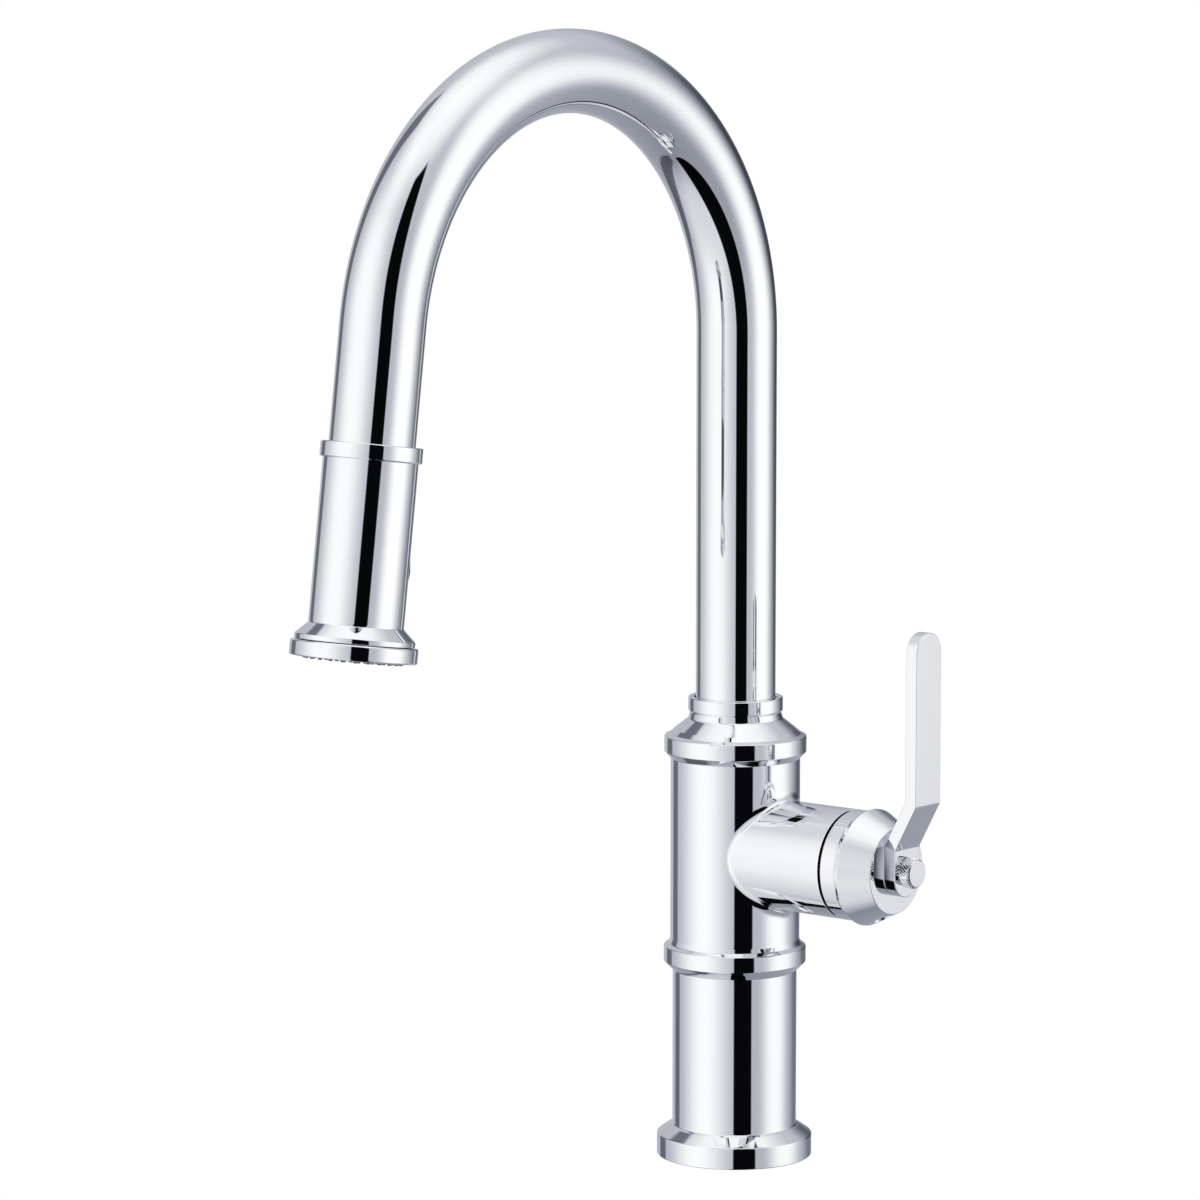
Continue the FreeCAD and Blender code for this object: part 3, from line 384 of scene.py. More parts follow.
housing_form = turned([
    (22.8, 77.9), (22.8, 77.6, 0.8), (23.4, 76.0, 0.6), (25.1, 75.0, 0.6), (25.1, 69.6, 0.5),
    (23.9, 68.4, 1.2), (21.9, 66.5), (18.8, 66.5), (18.8, 58), (16.8, 58), (16.8, 78), (19.8, 78),
], steps=88, closed=False)
join_in(housing_form, turned([(22.8, 142), (19.8, 142)], steps=88, closed=False))
angles, ring = open_wall(housing_form, root_mouth, lambda rise: COLUMN_R, 0.0779, 0.142)
for step in range(1, 11):
    ring = next_ring(housing_form, ring, [root_place(angle, step / 10) for angle in angles])
barrel_outline = [(0.038, 0.0192), (0.0508, 0.0192), (0.05094, 0.01914), (0.051, 0.019),
                  (0.051, 0.0162), (0.036, 0.0162)]
for reach, radius in barrel_outline:
    ring = next_ring(housing_form, ring, [
        (reach, radius * math.cos(angle), HANDLE_RISE + radius * math.sin(angle))
        for angle in angles])
ring = next_ring(housing_form, ring, [
    (COLUMN_BORE_R * math.cos(bore_mouth(angle)[0]), BARREL_BORE_R * math.cos(angle),
     bore_mouth(angle)[1]) for angle in angles])
open_wall(housing_form, bore_mouth, lambda rise: COLUMN_BORE_R, 0.078, 0.142)
upper_column = finished("upper_column", housing_form, chrome_on_brass)
true_round(upper_column, Matrix.Identity(4), lambda rise: COLUMN_R, 0.0779, 0.142)
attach(upper_column, "column")
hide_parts("valve_housing")

# ---------------------------------------------------------------- bonnet
# The cap screwed on the column's top: a flange, a cone and the neck ring that the gooseneck
# turns in. Turned in brass and chrome plated; an open line shows where the spout turns.
bonnet_cap = finished("bonnet_cap", turned([
    (17.6, 142), (22.8, 142), (25.0, 144.4, 0.5), (25.0, 149.9, 0.5), (23.1, 150.7, 0.7),
    (21.5, 152.2, 0.5), (16.6, 156.1, 1.2), (16.0, 158.4, 0.4), (16.64, 159.0, 0.3),
    (16.64, 163.7, 0.5), (14.35, 163.7, 0.4), (14.35, 150), (17.6, 150),
]), chrome_on_brass)
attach(bonnet_cap, "column")
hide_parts("spout_bonnet")

# ---------------------------------------------------------------- gooseneck
# The spout: one 28 mm brass tube with a 1.2 mm wall, bent round a former to a bit short of
# a half circle, polished and chrome plated. Its open end is faced square and deburred.
BEND_R = 0.0918
BEND_RISE = 0.2916
BEND_TURN = math.radians(171.96)
bend_centre = Vector((0, -BEND_R, BEND_RISE))
bend_end = bend_centre + Matrix.Rotation(BEND_TURN, 3, "X") @ Vector((0, BEND_R, 0))
outlet_way = Matrix.Rotation(BEND_TURN, 3, "X") @ Vector((0, 0, 1))


def verts_of(parts):
    return [part for part in parts if isinstance(part, bmesh.types.BMVert)]


def swept(form, turn, steps):
    """Carry the flat faces at the foot up to the bend and round it; returns their last place."""
    risen = bmesh.ops.extrude_face_region(form, geom=form.faces[:])["geom"]
    for corner in verts_of(risen):
        corner.co.z = BEND_RISE
    return bmesh.ops.spin(form, geom=risen, axis=(1, 0, 0), cent=bend_centre, angle=turn,
                          steps=steps)["geom_last"]


tube_form = bmesh.new()
bmesh.ops.create_circle(tube_form, segments=128, radius=0.014,
                        matrix=Matrix.Translation((0, 0, 0.150)))
wall_rim = bmesh.ops.extrude_edge_only(tube_form, edges=tube_form.edges[:])["geom"]
for corner in verts_of(wall_rim):
    corner.co.xy *= 0.0128 / 0.014
bent = swept(tube_form, BEND_TURN, 172)
straight = bmesh.ops.extrude_face_region(tube_form, geom=bent)["geom"]
bmesh.ops.translate(tube_form, vec=outlet_way * 0.0415, verts=verts_of(straight))
tube_form.normal_update()
rims = [edge for edge in tube_form.edges if edge.calc_face_angle(0) > math.radians(60)]
bmesh.ops.bevel(tube_form, geom=rims, offset=0.00025, segments=3, profile=0.5,
                affect="EDGES", material=-1)
gooseneck = finished("gooseneck", tube_form, chrome_on_brass)
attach(gooseneck, "spout")
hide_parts("spout_tube")

# ---------------------------------------------------------------- handle hub
# The hollow conical cap that carries the lever, die cast in zinc, polished and plated. Its
# underside has the set screw's hole; its flat face seats the lever.
along_handle = Matrix.Translation((0, 0, HANDLE_RISE)) @ Matrix.Rotation(math.radians(90), 4, "Y")
SCREW_AT = 0.0655
SCREW_MOUTH_R = 0.0040
HUB_RIM_R = 0.0203
HUB_RIM_AT = 0.0600
HUB_FACE_R = 0.0151
HUB_FACE_AT = 0.0706


def hub_radius(rise):
    taper = (HUB_RIM_R - HUB_FACE_R) / (HUB_FACE_AT - HUB_RIM_AT)
    return HUB_RIM_R - (rise - HUB_RIM_AT) * taper


def screw_mouth(angle):
    y, rise = SCREW_MOUTH_R * math.cos(angle), SCREW_AT + SCREW_MOUTH_R * math.sin(angle)
    return math.asin(y / hub_radius(rise)), rise


# Chrome on a zinc casting: as bright, with a longer ripple left by the buffing.
chrome_on_zinc = chrome("bright_chrome_on_buffed_zinc", "F3F4F6", 0.032, 18, 0.0016)
cone_low, cone_high = 0.0603, 0.07035
hub_form = turned([
    (hub_radius(cone_high) * 1000, cone_high * 1000), (15.1, 70.6, 0.3), (2.6, 70.6), (2.6, 66.0),
    (0, 66.0)], steps=96, closed=False)
join_in(hub_form, turned([
    (hub_radius(cone_low) * 1000, cone_low * 1000), (20.3, 60.0, 0.4),
    (19.2, 57.9, 0.4), (19.2, 51.9, 0.5),
    (18.1, 51.9, 0.2), (18.1, 59.0), (16.1, 62.0), (8.8, 62.0), (8.8, 52.2, 0.3), (5.8, 52.2),
    (5.8, 61.0), (0, 61.0)], steps=96, closed=False))
angles, ring = open_wall(hub_form, screw_mouth, hub_radius, cone_low, cone_high,
                         around=96, up=16, rings=18)
for depth, radius in ((0.00008, 0.00392), (0.0002, 0.0039), (0.0035, 0.0039)):
    ring = next_ring(hub_form, ring, [
        (math.sqrt(hub_radius(SCREW_AT + radius * math.sin(angle)) ** 2
                   - (radius * math.cos(angle)) ** 2) - depth,
         radius * math.cos(angle), SCREW_AT + radius * math.sin(angle)) for angle in angles])
bmesh.ops.contextual_create(hub_form, geom=ring)
hub_form.transform(along_handle)
hub_casting = finished("hub_casting", hub_form, chrome_on_zinc)
true_round(hub_casting, along_handle, hub_radius, cone_low, cone_high)
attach(hub_casting, "handle")
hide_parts("handle_hub")

# ---------------------------------------------------------------- set screw cap
# A small moulded plug pressed into the set screw's hole, just below the cone's skin, so a
# thin dark line shows all round it. Plated to match.
# Chrome on moulded ABS: a mirror, with the moulding's faint orange peel.
chrome_on_abs = chrome("bright_chrome_on_moulded_abs", "F3F4F6", 0.034, 8, 0.0007)
cap_form = bmesh.new()
cap_rim = bmesh.ops.create_circle(cap_form, segments=64, radius=0.0036, cap_ends=True)["verts"]
cap_face = cap_form.faces[:]
deep = bmesh.ops.extrude_face_region(cap_form, geom=cap_face)["geom"]
for corner in cap_form.verts:
    across_cone, along_cone = corner.co.x, corner.co.y
    skin = math.sqrt(hub_radius(SCREW_AT + along_cone) ** 2 - across_cone ** 2)
    sunk = 0.0030 if corner in deep else 0.0006
    corner.co = (skin - sunk, across_cone, SCREW_AT + along_cone)
bmesh.ops.bevel(cap_form, geom=[edge for edge in cap_form.edges if len(edge.link_faces) == 2
                                and not any(corner in deep for corner in edge.verts)],
                offset=0.0002, segments=3, profile=0.5, affect="EDGES", material=-1)
cap_form.transform(along_handle)
set_screw_cap = finished("set_screw_cap", cap_form, chrome_on_abs)
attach(set_screw_cap, "handle")
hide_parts("screw_plug")

# ---------------------------------------------------------------- lever
# A flat bar with round ends, bent twice so that it stands clear of the hub and runs upright.
# Stamped, bent, polished on its faces with crisp eased edges, and chrome plated.
LEVER_HALF = 0.0071
FOOT_MIDDLE = 0.1080
TOP_MIDDLE = 0.1860
LOW_BEND = 0.1179
HIGH_BEND = 0.1337
BACK_SHIFT = 0.00116
NECK_STEP = 0.00854
LEVER_BACK = 0.0706
LEVER_FRONT = 0.0752
lever_form = bmesh.new()
bmesh.ops.create_circle(
    lever_form, segments=64, radius=LEVER_HALF, cap_ends=True,
    matrix=Matrix.Rotation(math.radians(90), 4, "Y") @ Matrix.Rotation(math.pi / 64, 4, "Z"))
for corner in lever_form.verts:
    corner.co.z += TOP_MIDDLE if corner.co.z > 0 else FOOT_MIDDLE
for bend in (LOW_BEND, HIGH_BEND):
    bmesh.ops.bisect_plane(lever_form, geom=lever_form.verts[:] + lever_form.edges[:]
                           + lever_form.faces[:], plane_co=(0, 0, bend), plane_no=(0, 0, 1))
back_part = verts_of(bmesh.ops.extrude_face_region(lever_form, geom=lever_form.faces[:])["geom"])
back_part = set(back_part)
for corner in lever_form.verts:
    rise = corner.co.z
    step = min(max((rise - LOW_BEND) / (HIGH_BEND - LOW_BEND), 0), 1) * NECK_STEP
    on_bend = abs(rise - LOW_BEND) < 1e-6 or abs(rise - HIGH_BEND) < 1e-6
    behind = corner in back_part
    corner.co.x = step + (LEVER_BACK if behind else LEVER_FRONT)
    if behind and on_bend:
        corner.co.z += BACK_SHIFT
lever_form.normal_update()
bends = [edge for edge in lever_form.edges if abs(edge.verts[0].co.z - edge.verts[1].co.z) < 1e-7
         and edge.calc_length() > LEVER_HALF and edge.calc_face_angle(0) > 0.3
         and abs(edge.verts[0].co.x - edge.verts[1].co.x) < 1e-7]
bmesh.ops.bevel(lever_form, geom=bends, offset=0.0004, segments=4, profile=0.5,
                affect="EDGES", material=-1)
crisp = [edge for edge in lever_form.edges if edge.calc_face_angle(0) > math.radians(50)]
bmesh.ops.bevel(lever_form, geom=crisp, offset=0.0003, segments=3, profile=0.5,
                affect="EDGES", material=-1)
lever_bar = finished("lever_bar", lever_form, chrome_on_zinc)
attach(lever_bar, "handle")
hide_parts("lever")

# ---------------------------------------------------------------- thumb screw
# The brass screw that holds the lever to the hub: a short head with a slanting knurl round
# it, a narrow groove, and a smooth, chamfered end. Chrome plated.
KNURLS = 26
LAST_TWIST = 0.52
GROOVE_R = 0.0044
knurl = (0.0053, 0.0049, GROOVE_R, 0.0049)
screw_form = bmesh.new()
ring = bmesh.ops.create_circle(screw_form, segments=4 * KNURLS, radius=1)["verts"]


def knurled(rise, twist, least=0.0):
    """A ring of the knurled head; least fills the grooves up to a radius."""
    places = []
    for i in range(4 * KNURLS):
        turn = math.tau * i / (4 * KNURLS) + twist
        radius = least or knurl[i % 4]
        places.append((radius * math.cos(turn), radius * math.sin(turn), rise))
    return places


for corner, place in zip(ring, knurled(0.0752, 0, 0.0047)):
    corner.co = place
bmesh.ops.contextual_create(screw_form, geom=ring)
ring = next_ring(screw_form, ring, knurled(0.0753, 0, 0.0049))
for step in range(9):
    ring = next_ring(screw_form, ring, knurled(0.07545 + step * 0.0004, step * LAST_TWIST / 8))
for rise, radius in ((0.0788, GROOVE_R), (0.0789, GROOVE_R), (0.07895, 0.0048),
                     (0.0792, 0.00486), (0.07945, 0.0047), (0.0796, 0.00445), (0.0796, 0.001)):
    ring = next_ring(screw_form, ring, knurled(rise, LAST_TWIST, radius))
bmesh.ops.contextual_create(screw_form, geom=ring)
join_in(screw_form, turned([(0, 66.0), (2.5, 66.0, 0.3), (2.5, 75.25), (0, 75.25)], steps=32,
                           closed=False))
screw_form.transform(along_handle)
knurled_screw = finished("knurled_screw", screw_form, chrome_on_brass, crease=28)
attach(knurled_screw, "handle")
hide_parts("thumb_screw")

# ---------------------------------------------------------------- docking collar
# The sleeve on the spray head that slips over the tube's end and hides the magnet. Moulded
# in ABS and chrome plated, with both edges eased.
along_head = Matrix.Translation(bend_end) @ Matrix.Rotation(BEND_TURN, 4, "X")
collar_form = turned([
    (14.35, 38.7, 0.2), (16.5, 38.7, 0.5), (16.5, 43.84, 0.5), (8.4, 43.84), (8.4, 43.2),
    (12.4, 43.2), (12.4, 41.8), (14.35, 41.8)])
collar_form.transform(along_head)
dock_collar = finished("dock_collar", collar_form, chrome_on_abs)
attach(dock_collar, "spray_head")
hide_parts("docking_collar")

# ---------------------------------------------------------------- spray head shell
# The head's moulded ABS body: a plain grip that flares to a lip at the face, open on the
# column's side for the rocker button. Chrome plated all over.
HEAD_R = 0.0154
HEAD_BORE_R = 0.0136
ROCKER_AT = 0.07054
POCKET_HALF = 0.0093
POCKET_STRAIGHT = 0.0068
facing_column = Matrix.Rotation(math.radians(-90), 4, "Z")


def oblong(angle, half_width, straight):
    """Where a ray from the middle meets a round-ended outline: across it and along it."""
    if abs(math.tan(angle)) * half_width <= straight:
        side = math.copysign(half_width, math.cos(angle))
        return side, side * math.tan(angle)
    lean = abs(math.sin(angle)) * straight
    reach = lean + math.sqrt(half_width ** 2 - (straight * math.cos(angle)) ** 2)
    return reach * math.cos(angle), reach * math.sin(angle)


def pocket_mouth(radius, half_width):
    def mouth(angle):
        wide, long = oblong(angle, half_width, POCKET_STRAIGHT)
        return math.asin(wide / radius), ROCKER_AT + long
    return mouth


shell_form = turned([
    (15.4, 44.0), (15.4, 43.84, 0.12), (8.0, 43.84), (8.0, 46.44), (13.6, 46.44),
], steps=88, closed=False)
join_in(shell_form, turned([
    (15.4, 96.3), (15.4, 96.94, 0.5), (19.5, 100.84, 0.5), (19.5, 102.44, 0.2), (16.0, 102.44),
    (13.6, 97.44),
], steps=88, closed=False))
angles, ring = open_wall(shell_form, pocket_mouth(HEAD_R, 0.0095), lambda rise: HEAD_R,
                         0.044, 0.0963)
for depth, half_width in ((0.00007, 0.00935), (0.0002, POCKET_HALF), (0.0009, POCKET_HALF)):
    spots = [oblong(angle, half_width, POCKET_STRAIGHT) for angle in angles]
    ring = next_ring(shell_form, ring, [
        (math.sqrt((HEAD_R - depth) ** 2 - wide ** 2), wide, ROCKER_AT + long)
        for wide, long in spots])
spots = [oblong(angle, POCKET_HALF, POCKET_STRAIGHT) for angle in angles]
ring = next_ring(shell_form, ring, [
    (math.sqrt(HEAD_BORE_R ** 2 - wide ** 2), wide, ROCKER_AT + long) for wide, long in spots])
open_wall(shell_form, pocket_mouth(HEAD_BORE_R, POCKET_HALF), lambda rise: HEAD_BORE_R,
          0.04644, 0.09744)
shell_form.transform(along_head @ facing_column)
grip_shell = finished("grip_shell", shell_form, chrome_on_abs)
true_round(grip_shell, along_head @ facing_column, lambda rise: HEAD_R, 0.044, 0.0963)
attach(grip_shell, "spray_head")
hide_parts("head_shell")


# ---------------------------------------------------------------- rocker button
# The two-ended button that tips to choose spray or stream, moulded in grey ABS with a spark
# eroded mould texture and a shallow groove across its middle.
def moulded(name, colour, shine, grain, grain_rise, mottle=0.06):
    """A moulded plastic or rubber: even colour, slight mottle, and the mould's fine grain.

    grain is the texture's spacing and grain_rise its height in millimetres."""
    material = bpy.data.materials.new(name)
    material.use_nodes = True
    tree = material.node_tree
    shader = tree.nodes["Principled BSDF"]
    shader.inputs["IOR"].default_value = 1.53
    place = add(tree, "ShaderNodeTexCoord").outputs["Object"]
    clouds = add(tree, "ShaderNodeTexNoise", links={"Vector": place, "Scale": 1000 / 12})
    base = linear(colour)
    tone = add(tree, "ShaderNodeMix", {"data_type": "RGBA"}, {
        "Factor": clouds.outputs[0], "A": [c * (1 - mottle) for c in base[:3]] + [1.0],
        "B": [min(c * (1 + mottle), 1.0) for c in base[:3]] + [1.0]})
    tree.links.new(tone.outputs["Result"], shader.inputs["Base Color"])
    pits = add(tree, "ShaderNodeTexNoise",
               links={"Vector": place, "Scale": 1000 / grain, "Detail": 2.0})
    spread = add(tree, "ShaderNodeMapRange", links={
        0: pits.outputs[0], 1: 0.25, 2: 0.75, 3: shine * 0.85, 4: min(shine * 1.15, 1.0)})
    tree.links.new(spread.outputs[0], shader.inputs["Roughness"])
    bump = add(tree, "ShaderNodeBump", links={
        "Height": pits.outputs[0], "Distance": grain_rise * 0.001, "Strength": 0.6})
    tree.links.new(bump.outputs[0], shader.inputs["Normal"])
    return material


# Grey ABS from a textured mould: dull, with a grain of about 0.4 mm.
grey_abs = moulded("textured_grey_abs", "5E6166", 0.45, 0.4, 0.012)
BUTTON_HALF = 0.0088
BUTTON_STRAIGHT = 0.0067
BUTTON_CROWN_R = 0.0159
BUTTON_BACK_R = 0.0130
MIDDLE_GROOVE = 0.0005
rocker_form = bmesh.new()
bmesh.ops.create_circle(rocker_form, segments=96, radius=BUTTON_HALF, cap_ends=True,
                        matrix=Matrix.Rotation(math.pi / 96, 4, "Z"))
for corner in rocker_form.verts:
    corner.co.y += math.copysign(BUTTON_STRAIGHT, corner.co.y)
cuts = [((0, offset * 0.001, 0), (0, 1, 0)) for offset in (-0.9, -0.5, 0.5, 0.9)]
cuts += [((offset * 0.001, 0, 0), (1, 0, 0)) for offset in range(-8, 9)]
for spot, square in cuts:
    bmesh.ops.bisect_plane(rocker_form, geom=rocker_form.verts[:] + rocker_form.edges[:]
                           + rocker_form.faces[:], plane_co=spot, plane_no=square)
under = set(verts_of(bmesh.ops.extrude_face_region(rocker_form,
                                                   geom=rocker_form.faces[:])["geom"]))
for corner in rocker_form.verts:
    wide, long = corner.co.x, corner.co.y
    radius = BUTTON_BACK_R if corner in under else BUTTON_CROWN_R
    if corner not in under and abs(long) < 0.0006:
        radius -= MIDDLE_GROOVE
    corner.co = (math.sqrt(radius ** 2 - wide ** 2), wide, ROCKER_AT + long)
rim = [edge for edge in rocker_form.edges if edge.calc_face_angle(0) > math.radians(50)
       and not any(corner in under for corner in edge.verts)
       and abs(edge.verts[0].co.z - edge.verts[1].co.z) + abs(edge.verts[0].co.y
                                                              - edge.verts[1].co.y) > 1e-6]
bmesh.ops.bevel(rocker_form, geom=rim, offset=0.0004, segments=3, profile=0.5,
                affect="EDGES", material=-1)
rocker_form.transform(along_head @ facing_column)
spray_button = finished("spray_button", rocker_form, grey_abs, crease=40)
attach(spray_button, "rocker")
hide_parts("rocker_button")

# ---------------------------------------------------------------- face ring
# The plated ring that clamps the spray face to the shell. Moulded in ABS and chrome plated;
# a thin dark line parts it from the shell's lip.
ring_form = turned([
    (14.1, 102.55), (19.0, 102.55), (20.2, 102.7, 0.2), (20.65, 103.1, 0.4), (20.65, 107.84, 0.6),
    (17.0, 107.84, 0.3), (17.0, 103.64), (14.1, 103.64)])
ring_form.transform(along_head)
clamp_ring = finished("clamp_ring", ring_form, chrome_on_abs)
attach(clamp_ring, "spray_head")
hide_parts("face_ring")

# ---------------------------------------------------------------- spray nozzles
# One mat of soft grey silicone behind the face, with a tapered nub through each hole. The
# nubs stand just proud, so lime can be rubbed off them.
# Silicone rubber from a polished mould: soft grey, with a satin skin.
grey_silicone = moulded("moulded_grey_silicone", "8C9095", 0.5, 0.6, 0.006)
nozzle_form = turned([(8.0, 103.74), (16.9, 103.74), (16.9, 105.14), (8.0, 105.14)], steps=64)
for circle, count in ((0.0104, 14), (0.0132, 18), (0.0156, 24)):
    for i in range(count):
        turn = math.tau * i / count
        nub = turned([(0, 105.1), (0.75, 105.1), (0.74, 107.4), (0.62, 108.54, 0.15),
                      (0.28, 108.54), (0.22, 108.0), (0, 108.0)], steps=14, closed=False)
        nub.transform(Matrix.Translation((circle * math.cos(turn), circle * math.sin(turn), 0)))
        join_in(nozzle_form, nub)
nozzle_form.transform(along_head)
nozzle_mat = finished("nozzle_mat", nozzle_form, grey_silicone, crease=40)
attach(nozzle_mat, "spray_head")
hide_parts("spray_nozzles")

# ---------------------------------------------------------------- aerator
# The insert in the middle of the face that mixes air into the stream: a moulded cup with a
# screen of rings and spokes across it. White acetal.
# Acetal, moulded: milky white, slightly waxy.
white_acetal = moulded("moulded_white_acetal", "E4E4DF", 0.38, 0.8, 0.004)
aerator_form = turned([
    (0, 99.44), (7.9, 99.44, 0.3), (7.9, 107.44, 0.3), (6.7, 107.44, 0.2), (6.7, 105.4),
    (0, 105.4)], steps=64, closed=False)
for radius in (1.5, 3.1, 4.7):
    join_in(aerator_form, turned([
        (radius - 0.22, 105.3), (radius + 0.22, 105.3), (radius + 0.22, 106.6, 0.1),
        (radius - 0.22, 106.6, 0.1)], steps=40))
for i in range(12):
    spoke = bmesh.new()
    bmesh.ops.create_cube(spoke, size=1.0)
    bmesh.ops.scale(spoke, vec=(0.0056, 0.0004, 0.0011), verts=spoke.verts)
    bmesh.ops.translate(spoke, vec=(0.0041, 0, 0.1059), verts=spoke.verts)
    spoke.transform(Matrix.Rotation(math.tau * i / 12, 4, "Z"))
    join_in(aerator_form, spoke)
aerator_form.transform(along_head)
aerator_insert = finished("aerator_insert", aerator_form, white_acetal)
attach(aerator_insert, "spray_head")
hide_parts("aerator")


# ---------------------------------------------------------------- spray hose
# The flexible pull-out hose: a rubber core in a braided nylon sleeve, 12 mm across. It is
# crimped to the head's ferrule, and runs back through the gooseneck to under the deck.
HOSE_R = 0.006
HOSE_LAY = 0.0377


def braided(name, placing):
    """Grey nylon braid round the axis that placing lays along Z; strands cross at 45 degrees.

    Real strands are about 0.3 mm wide. They are drawn 1.6 mm wide, so that they show."""
    material = bpy.data.materials.new(name)
    material.use_nodes = True
    tree = material.node_tree
    shader = tree.nodes["Principled BSDF"]
    shader.inputs["IOR"].default_value = 1.53
    shader.inputs["Roughness"].default_value = 0.42
    back = placing.inverted()
    place = add(tree, "ShaderNodeMapping", links={
        0: add(tree, "ShaderNodeTexCoord").outputs["Object"],
        1: back.to_translation(), 2: back.to_euler()})
    parts = add(tree, "ShaderNodeSeparateXYZ", links={0: place.outputs[0]})
    turn = add(tree, "ShaderNodeMath", {"operation": "ARCTAN2"},
               {0: parts.outputs[1], 1: parts.outputs[0]})
    strands = 24
    lay = math.tau / HOSE_LAY
    waves = []
    for way in (1, -1):
        run = add(tree, "ShaderNodeMath", {"operation": "MULTIPLY_ADD"},
                  {0: parts.outputs[2], 1: way * lay, 2: turn.outputs[0]})
        phase = add(tree, "ShaderNodeMath", {"operation": "MULTIPLY"},
                    {0: run.outputs[0], 1: strands / 2})
        wave = add(tree, "ShaderNodeMath", {"operation": "SINE"}, {0: phase.outputs[0]})
        waves.append(wave.outputs[0])
    weave = add(tree, "ShaderNodeMath", {"operation": "MULTIPLY"}, {0: waves[0], 1: waves[1]})
    raised = add(tree, "ShaderNodeMapRange", links={0: weave.outputs[0], 1: -1.0, 2: 1.0})
    # Painted highlight and shade: the colour follows the weave's height, pale on raised crossings
    # and dark in the gaps; the real relief is the bump below.
    tone = add(tree, "ShaderNodeMix", {"data_type": "RGBA"}, {
        "Factor": raised.outputs[0], "A": linear("4C4F54"), "B": linear("A9ADB3")})
    tree.links.new(tone.outputs["Result"], shader.inputs["Base Color"])
    bump = add(tree, "ShaderNodeBump", links={
        "Height": raised.outputs[0], "Distance": 0.0003, "Strength": 0.8})
    tree.links.new(bump.outputs[0], shader.inputs["Normal"])
    return material


def hose_run(form, rim, rises):
    """Carry a round rim on through the given places along Z."""
    for rise in rises:
        rim = next_ring(form, rim, [(v.co.x, v.co.y, rise) for v in rim])
    return rim


# Nylon braid: grey monofilament. Its tone is painted light: a painted highlight on the raised
# crossings and painted shade in the low gaps between strands.
outlet_form = bmesh.new()
ring = bmesh.ops.create_circle(outlet_form, segments=48, radius=HOSE_R,
                               matrix=Matrix.Translation((0, 0, 0.0326)))["verts"]
bmesh.ops.contextual_create(outlet_form, geom=ring)
ring = hose_run(outlet_form, ring, [0.0326 - 0.0002 * i for i in range(1, 181)])
bmesh.ops.contextual_create(outlet_form, geom=ring)
outlet_form.transform(along_head)
hose_outlet = finished("hose_outlet", outlet_form, braided("braided_nylon_outlet", along_head),
                       crease=60)
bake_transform(hose_outlet)
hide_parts("spray_hose")

bend_form = bmesh.new()
bmesh.ops.create_circle(bend_form, segments=48, radius=HOSE_R, cap_ends=True,
                        matrix=Matrix.Translation((0, 0, -0.070)))
swept(bend_form, BEND_TURN - 0.0034 / BEND_R, 120)
hose_run_in = finished("hose_run", bend_form,
                       braided("braided_nylon_run", Matrix.Identity(4)), crease=60)
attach(hose_run_in, "spout")
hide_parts("spray_hose")


# ---------------------------------------------------------------- hose end fitting
# The push-in plug on the hose's lower end, which snaps into the supply's quick coupling.
# Turned brass with two O-ring grooves and a grooved grip.
def metal(name, colour, polish, grain, way):
    """A bare metal with the tool's marks: grain is their spacing in millimetres, and way
    stretches them along an axis."""
    material = bpy.data.materials.new(name)
    material.use_nodes = True
    tree = material.node_tree
    shader = tree.nodes["Principled BSDF"]
    shader.inputs["Metallic"].default_value = 1.0
    place = add(tree, "ShaderNodeMapping", links={
        0: add(tree, "ShaderNodeTexCoord").outputs["Object"], 3: way})
    marks = add(tree, "ShaderNodeTexNoise", links={
        "Vector": place.outputs[0], "Scale": 1000 / grain, "Detail": 3.0})
    base = linear(colour)
    tone = add(tree, "ShaderNodeMix", {"data_type": "RGBA"}, {
        "Factor": marks.outputs[0], "A": [c * 0.9 for c in base[:3]] + [1.0],
        "B": base})
    tree.links.new(tone.outputs["Result"], shader.inputs["Base Color"])
    spread = add(tree, "ShaderNodeMapRange", links={
        0: marks.outputs[0], 1: 0.25, 2: 0.75, 3: polish * 0.75, 4: polish * 1.3})
    tree.links.new(spread.outputs[0], shader.inputs["Roughness"])
    bump = add(tree, "ShaderNodeBump", links={
        "Height": marks.outputs[0], "Distance": grain * 0.00001, "Strength": 0.5})
    tree.links.new(bump.outputs[0], shader.inputs["Normal"])
    return material


# Machined brass: yellow, with fine turning marks round it.
turned_brass = metal("turned_brass", "D9BE7C", 0.28, 0.5, way=(1, 1, 6))
fitting_form = turned([
    (2.6, -94), (4.6, -94, 0.6), (4.6, -91.6), (4.0, -91.6, 0.1), (4.0, -90.2, 0.1),
    (4.6, -90.2), (4.6, -87, 0.2), (7.0, -87, 0.4), (7.0, -81, 0.3), (6.5, -80.6, 0.2),
    (6.5, -79.4, 0.2), (7.0, -79, 0.3), (7.0, -77, 0.3), (6.5, -76.6, 0.2), (6.5, -75.4, 0.2),
    (7.0, -75, 0.3), (7.0, -70, 0.4), (2.6, -70)], steps=64)
hose_plug = finished("hose_plug", fitting_form, turned_brass)
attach(hose_plug, "spout")
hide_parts("hose_end_fitting")

# ---------------------------------------------------------------- threaded shank
# The hollow brass stud under the base that goes through the deck; the nut draws it down. Its
# thread is cut at 1.5 mm pitch, and drawn as rings.
thread = []
for i in range(38):
    low = -61.0 + 1.5 * i
    thread += [(15.7, low), (16.5, low + 0.65), (16.5, low + 0.85), (15.7, low + 1.5)]
shank_form = turned([(14.4, -62), (15.4, -62)] + thread + [
    (16.5, -3.8), (16.5, 8), (18.6, 8, 0.3), (18.6, 11, 0.3), (14.4, 11)], steps=72)
threaded_shank = finished("threaded_shank", shank_form, turned_brass, crease=30)
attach(threaded_shank, "column")
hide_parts("shank")

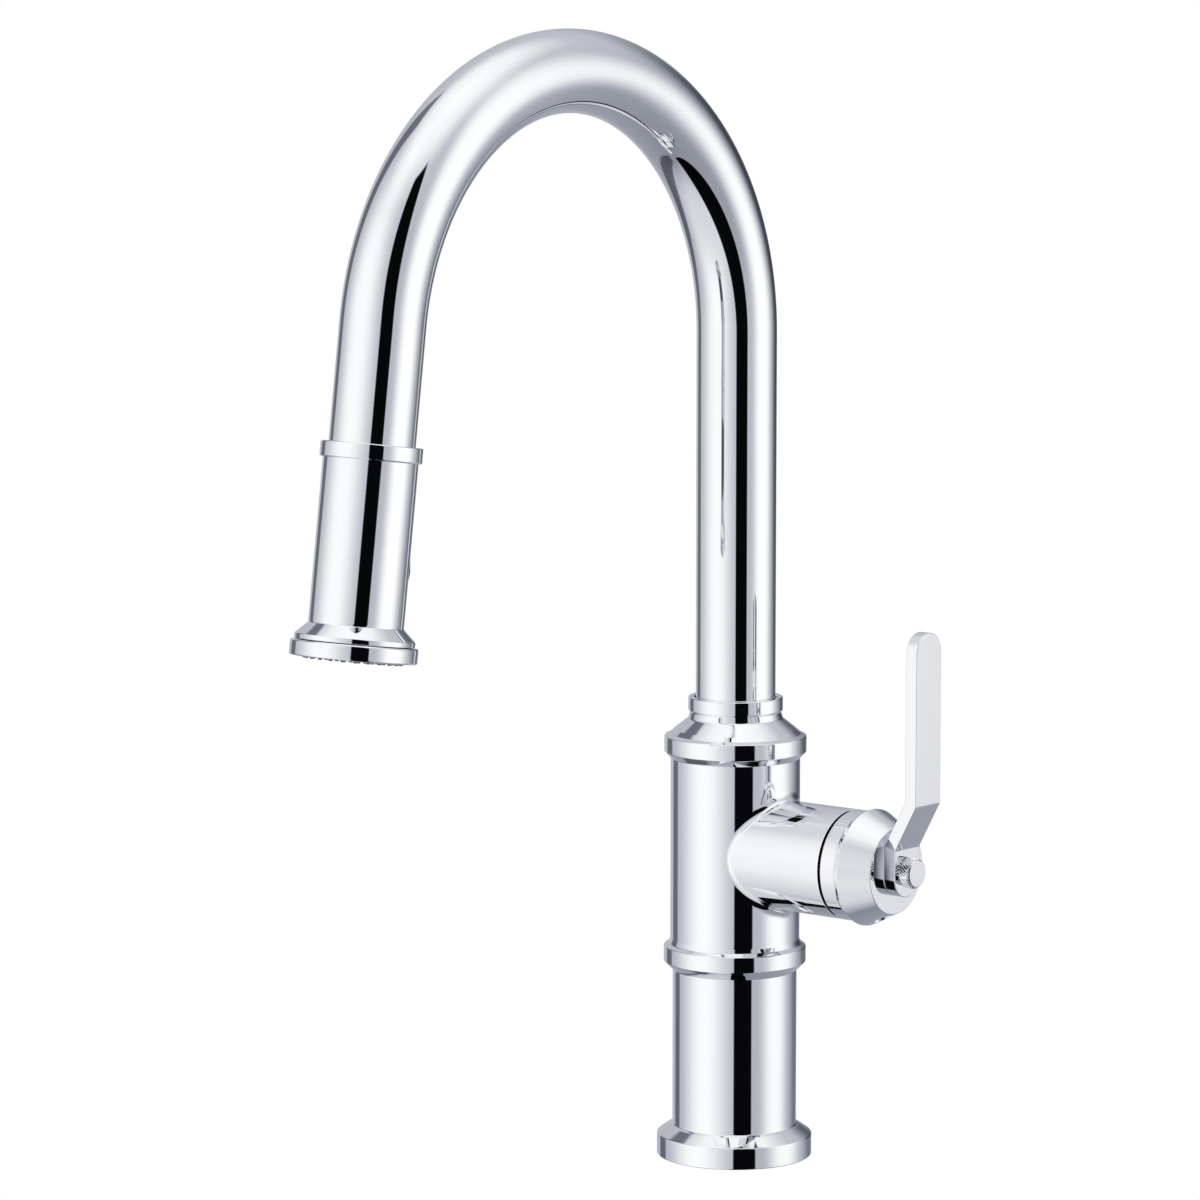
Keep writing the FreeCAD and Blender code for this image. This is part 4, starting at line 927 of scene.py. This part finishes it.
# ---------------------------------------------------------------- bare brass parts
# The waterway and swivel parts inside the column, and the nut under the deck: bored and
# turned from brass bar and left bare.
for name in ("swivel_socket", "inlet_manifold", "valve_block", "cartridge_sleeve",
             "pivot_retainer", "swivel_spigot", "mounting_nut", "carrier_ring"):
    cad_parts[name].data.materials.clear()
    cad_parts[name].data.materials.append(turned_brass)

# ---------------------------------------------------------------- copper risers
# Three drawn copper pipes, soldered into the manifold and the valve block.
# Drawn copper: reddish, with long fine lines down the pipe.
drawn_copper = metal("drawn_copper", "E2A283", 0.3, 0.8, way=(1, 1, 0.08))
for name in ("hot_riser", "mixed_riser", "cold_riser"):
    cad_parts[name].data.materials.clear()
    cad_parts[name].data.materials.append(drawn_copper)

# ---------------------------------------------------------------- stainless parts
# Pins, clips, screws, the hose ferrule, the spindle, the keeper ring and the steel washer,
# turned or stamped from stainless steel.
# Stainless steel, turned: cool grey with fine marks.
turned_stainless = metal("turned_stainless", "C3C4C2", 0.3, 0.4, way=(1, 1, 5))
for name in ("cartridge_clip", "hinge_pin", "spindle", "cross_pin", "hub_set_screw",
             "spigot_clip", "keeper_ring", "hose_connector", "rocker_pin", "jack_screws",
             "deck_steel_washer"):
    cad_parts[name].data.materials.clear()
    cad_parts[name].data.materials.append(turned_stainless)

# ---------------------------------------------------------------- rubber parts
# The seal under the base, the washer under the deck and the O-rings, moulded in nitrile.
# Nitrile rubber, moulded: near black and matt.
black_nitrile = moulded("moulded_black_nitrile", "26272A", 0.7, 0.7, 0.01)
for name in ("base_seal", "deck_rubber_washer", "cartridge_seals", "spindle_seals",
             "friction_o_ring"):
    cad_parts[name].data.materials.clear()
    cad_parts[name].data.materials.append(black_nitrile)

# ---------------------------------------------------------------- acetal parts
# Bushes and guides that something turns or slides in, moulded in acetal.
for name in ("stem_bush", "lower_bush", "upper_bush", "outlet_guide", "check_valve"):
    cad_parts[name].data.materials.clear()
    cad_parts[name].data.materials.append(white_acetal)

# ---------------------------------------------------------------- grey plastic parts
# The spray head's core, the rocker's cradle and the face plate, moulded in the same grey
# ABS as the button.
for name in ("diverter_body", "rocker_cradle", "spray_face"):
    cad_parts[name].data.materials.clear()
    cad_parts[name].data.materials.append(grey_abs)

# ---------------------------------------------------------------- dock magnet
# The ring magnet in the spout's end that pulls the head home: pressed ferrite.
# Ferrite: dark grey and stony, with a grain of about 1 mm.
ferrite = moulded("pressed_ferrite", "3A3B3D", 0.55, 1.0, 0.02, mottle=0.15)
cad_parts["dock_magnet"].data.materials.clear()
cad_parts["dock_magnet"].data.materials.append(ferrite)
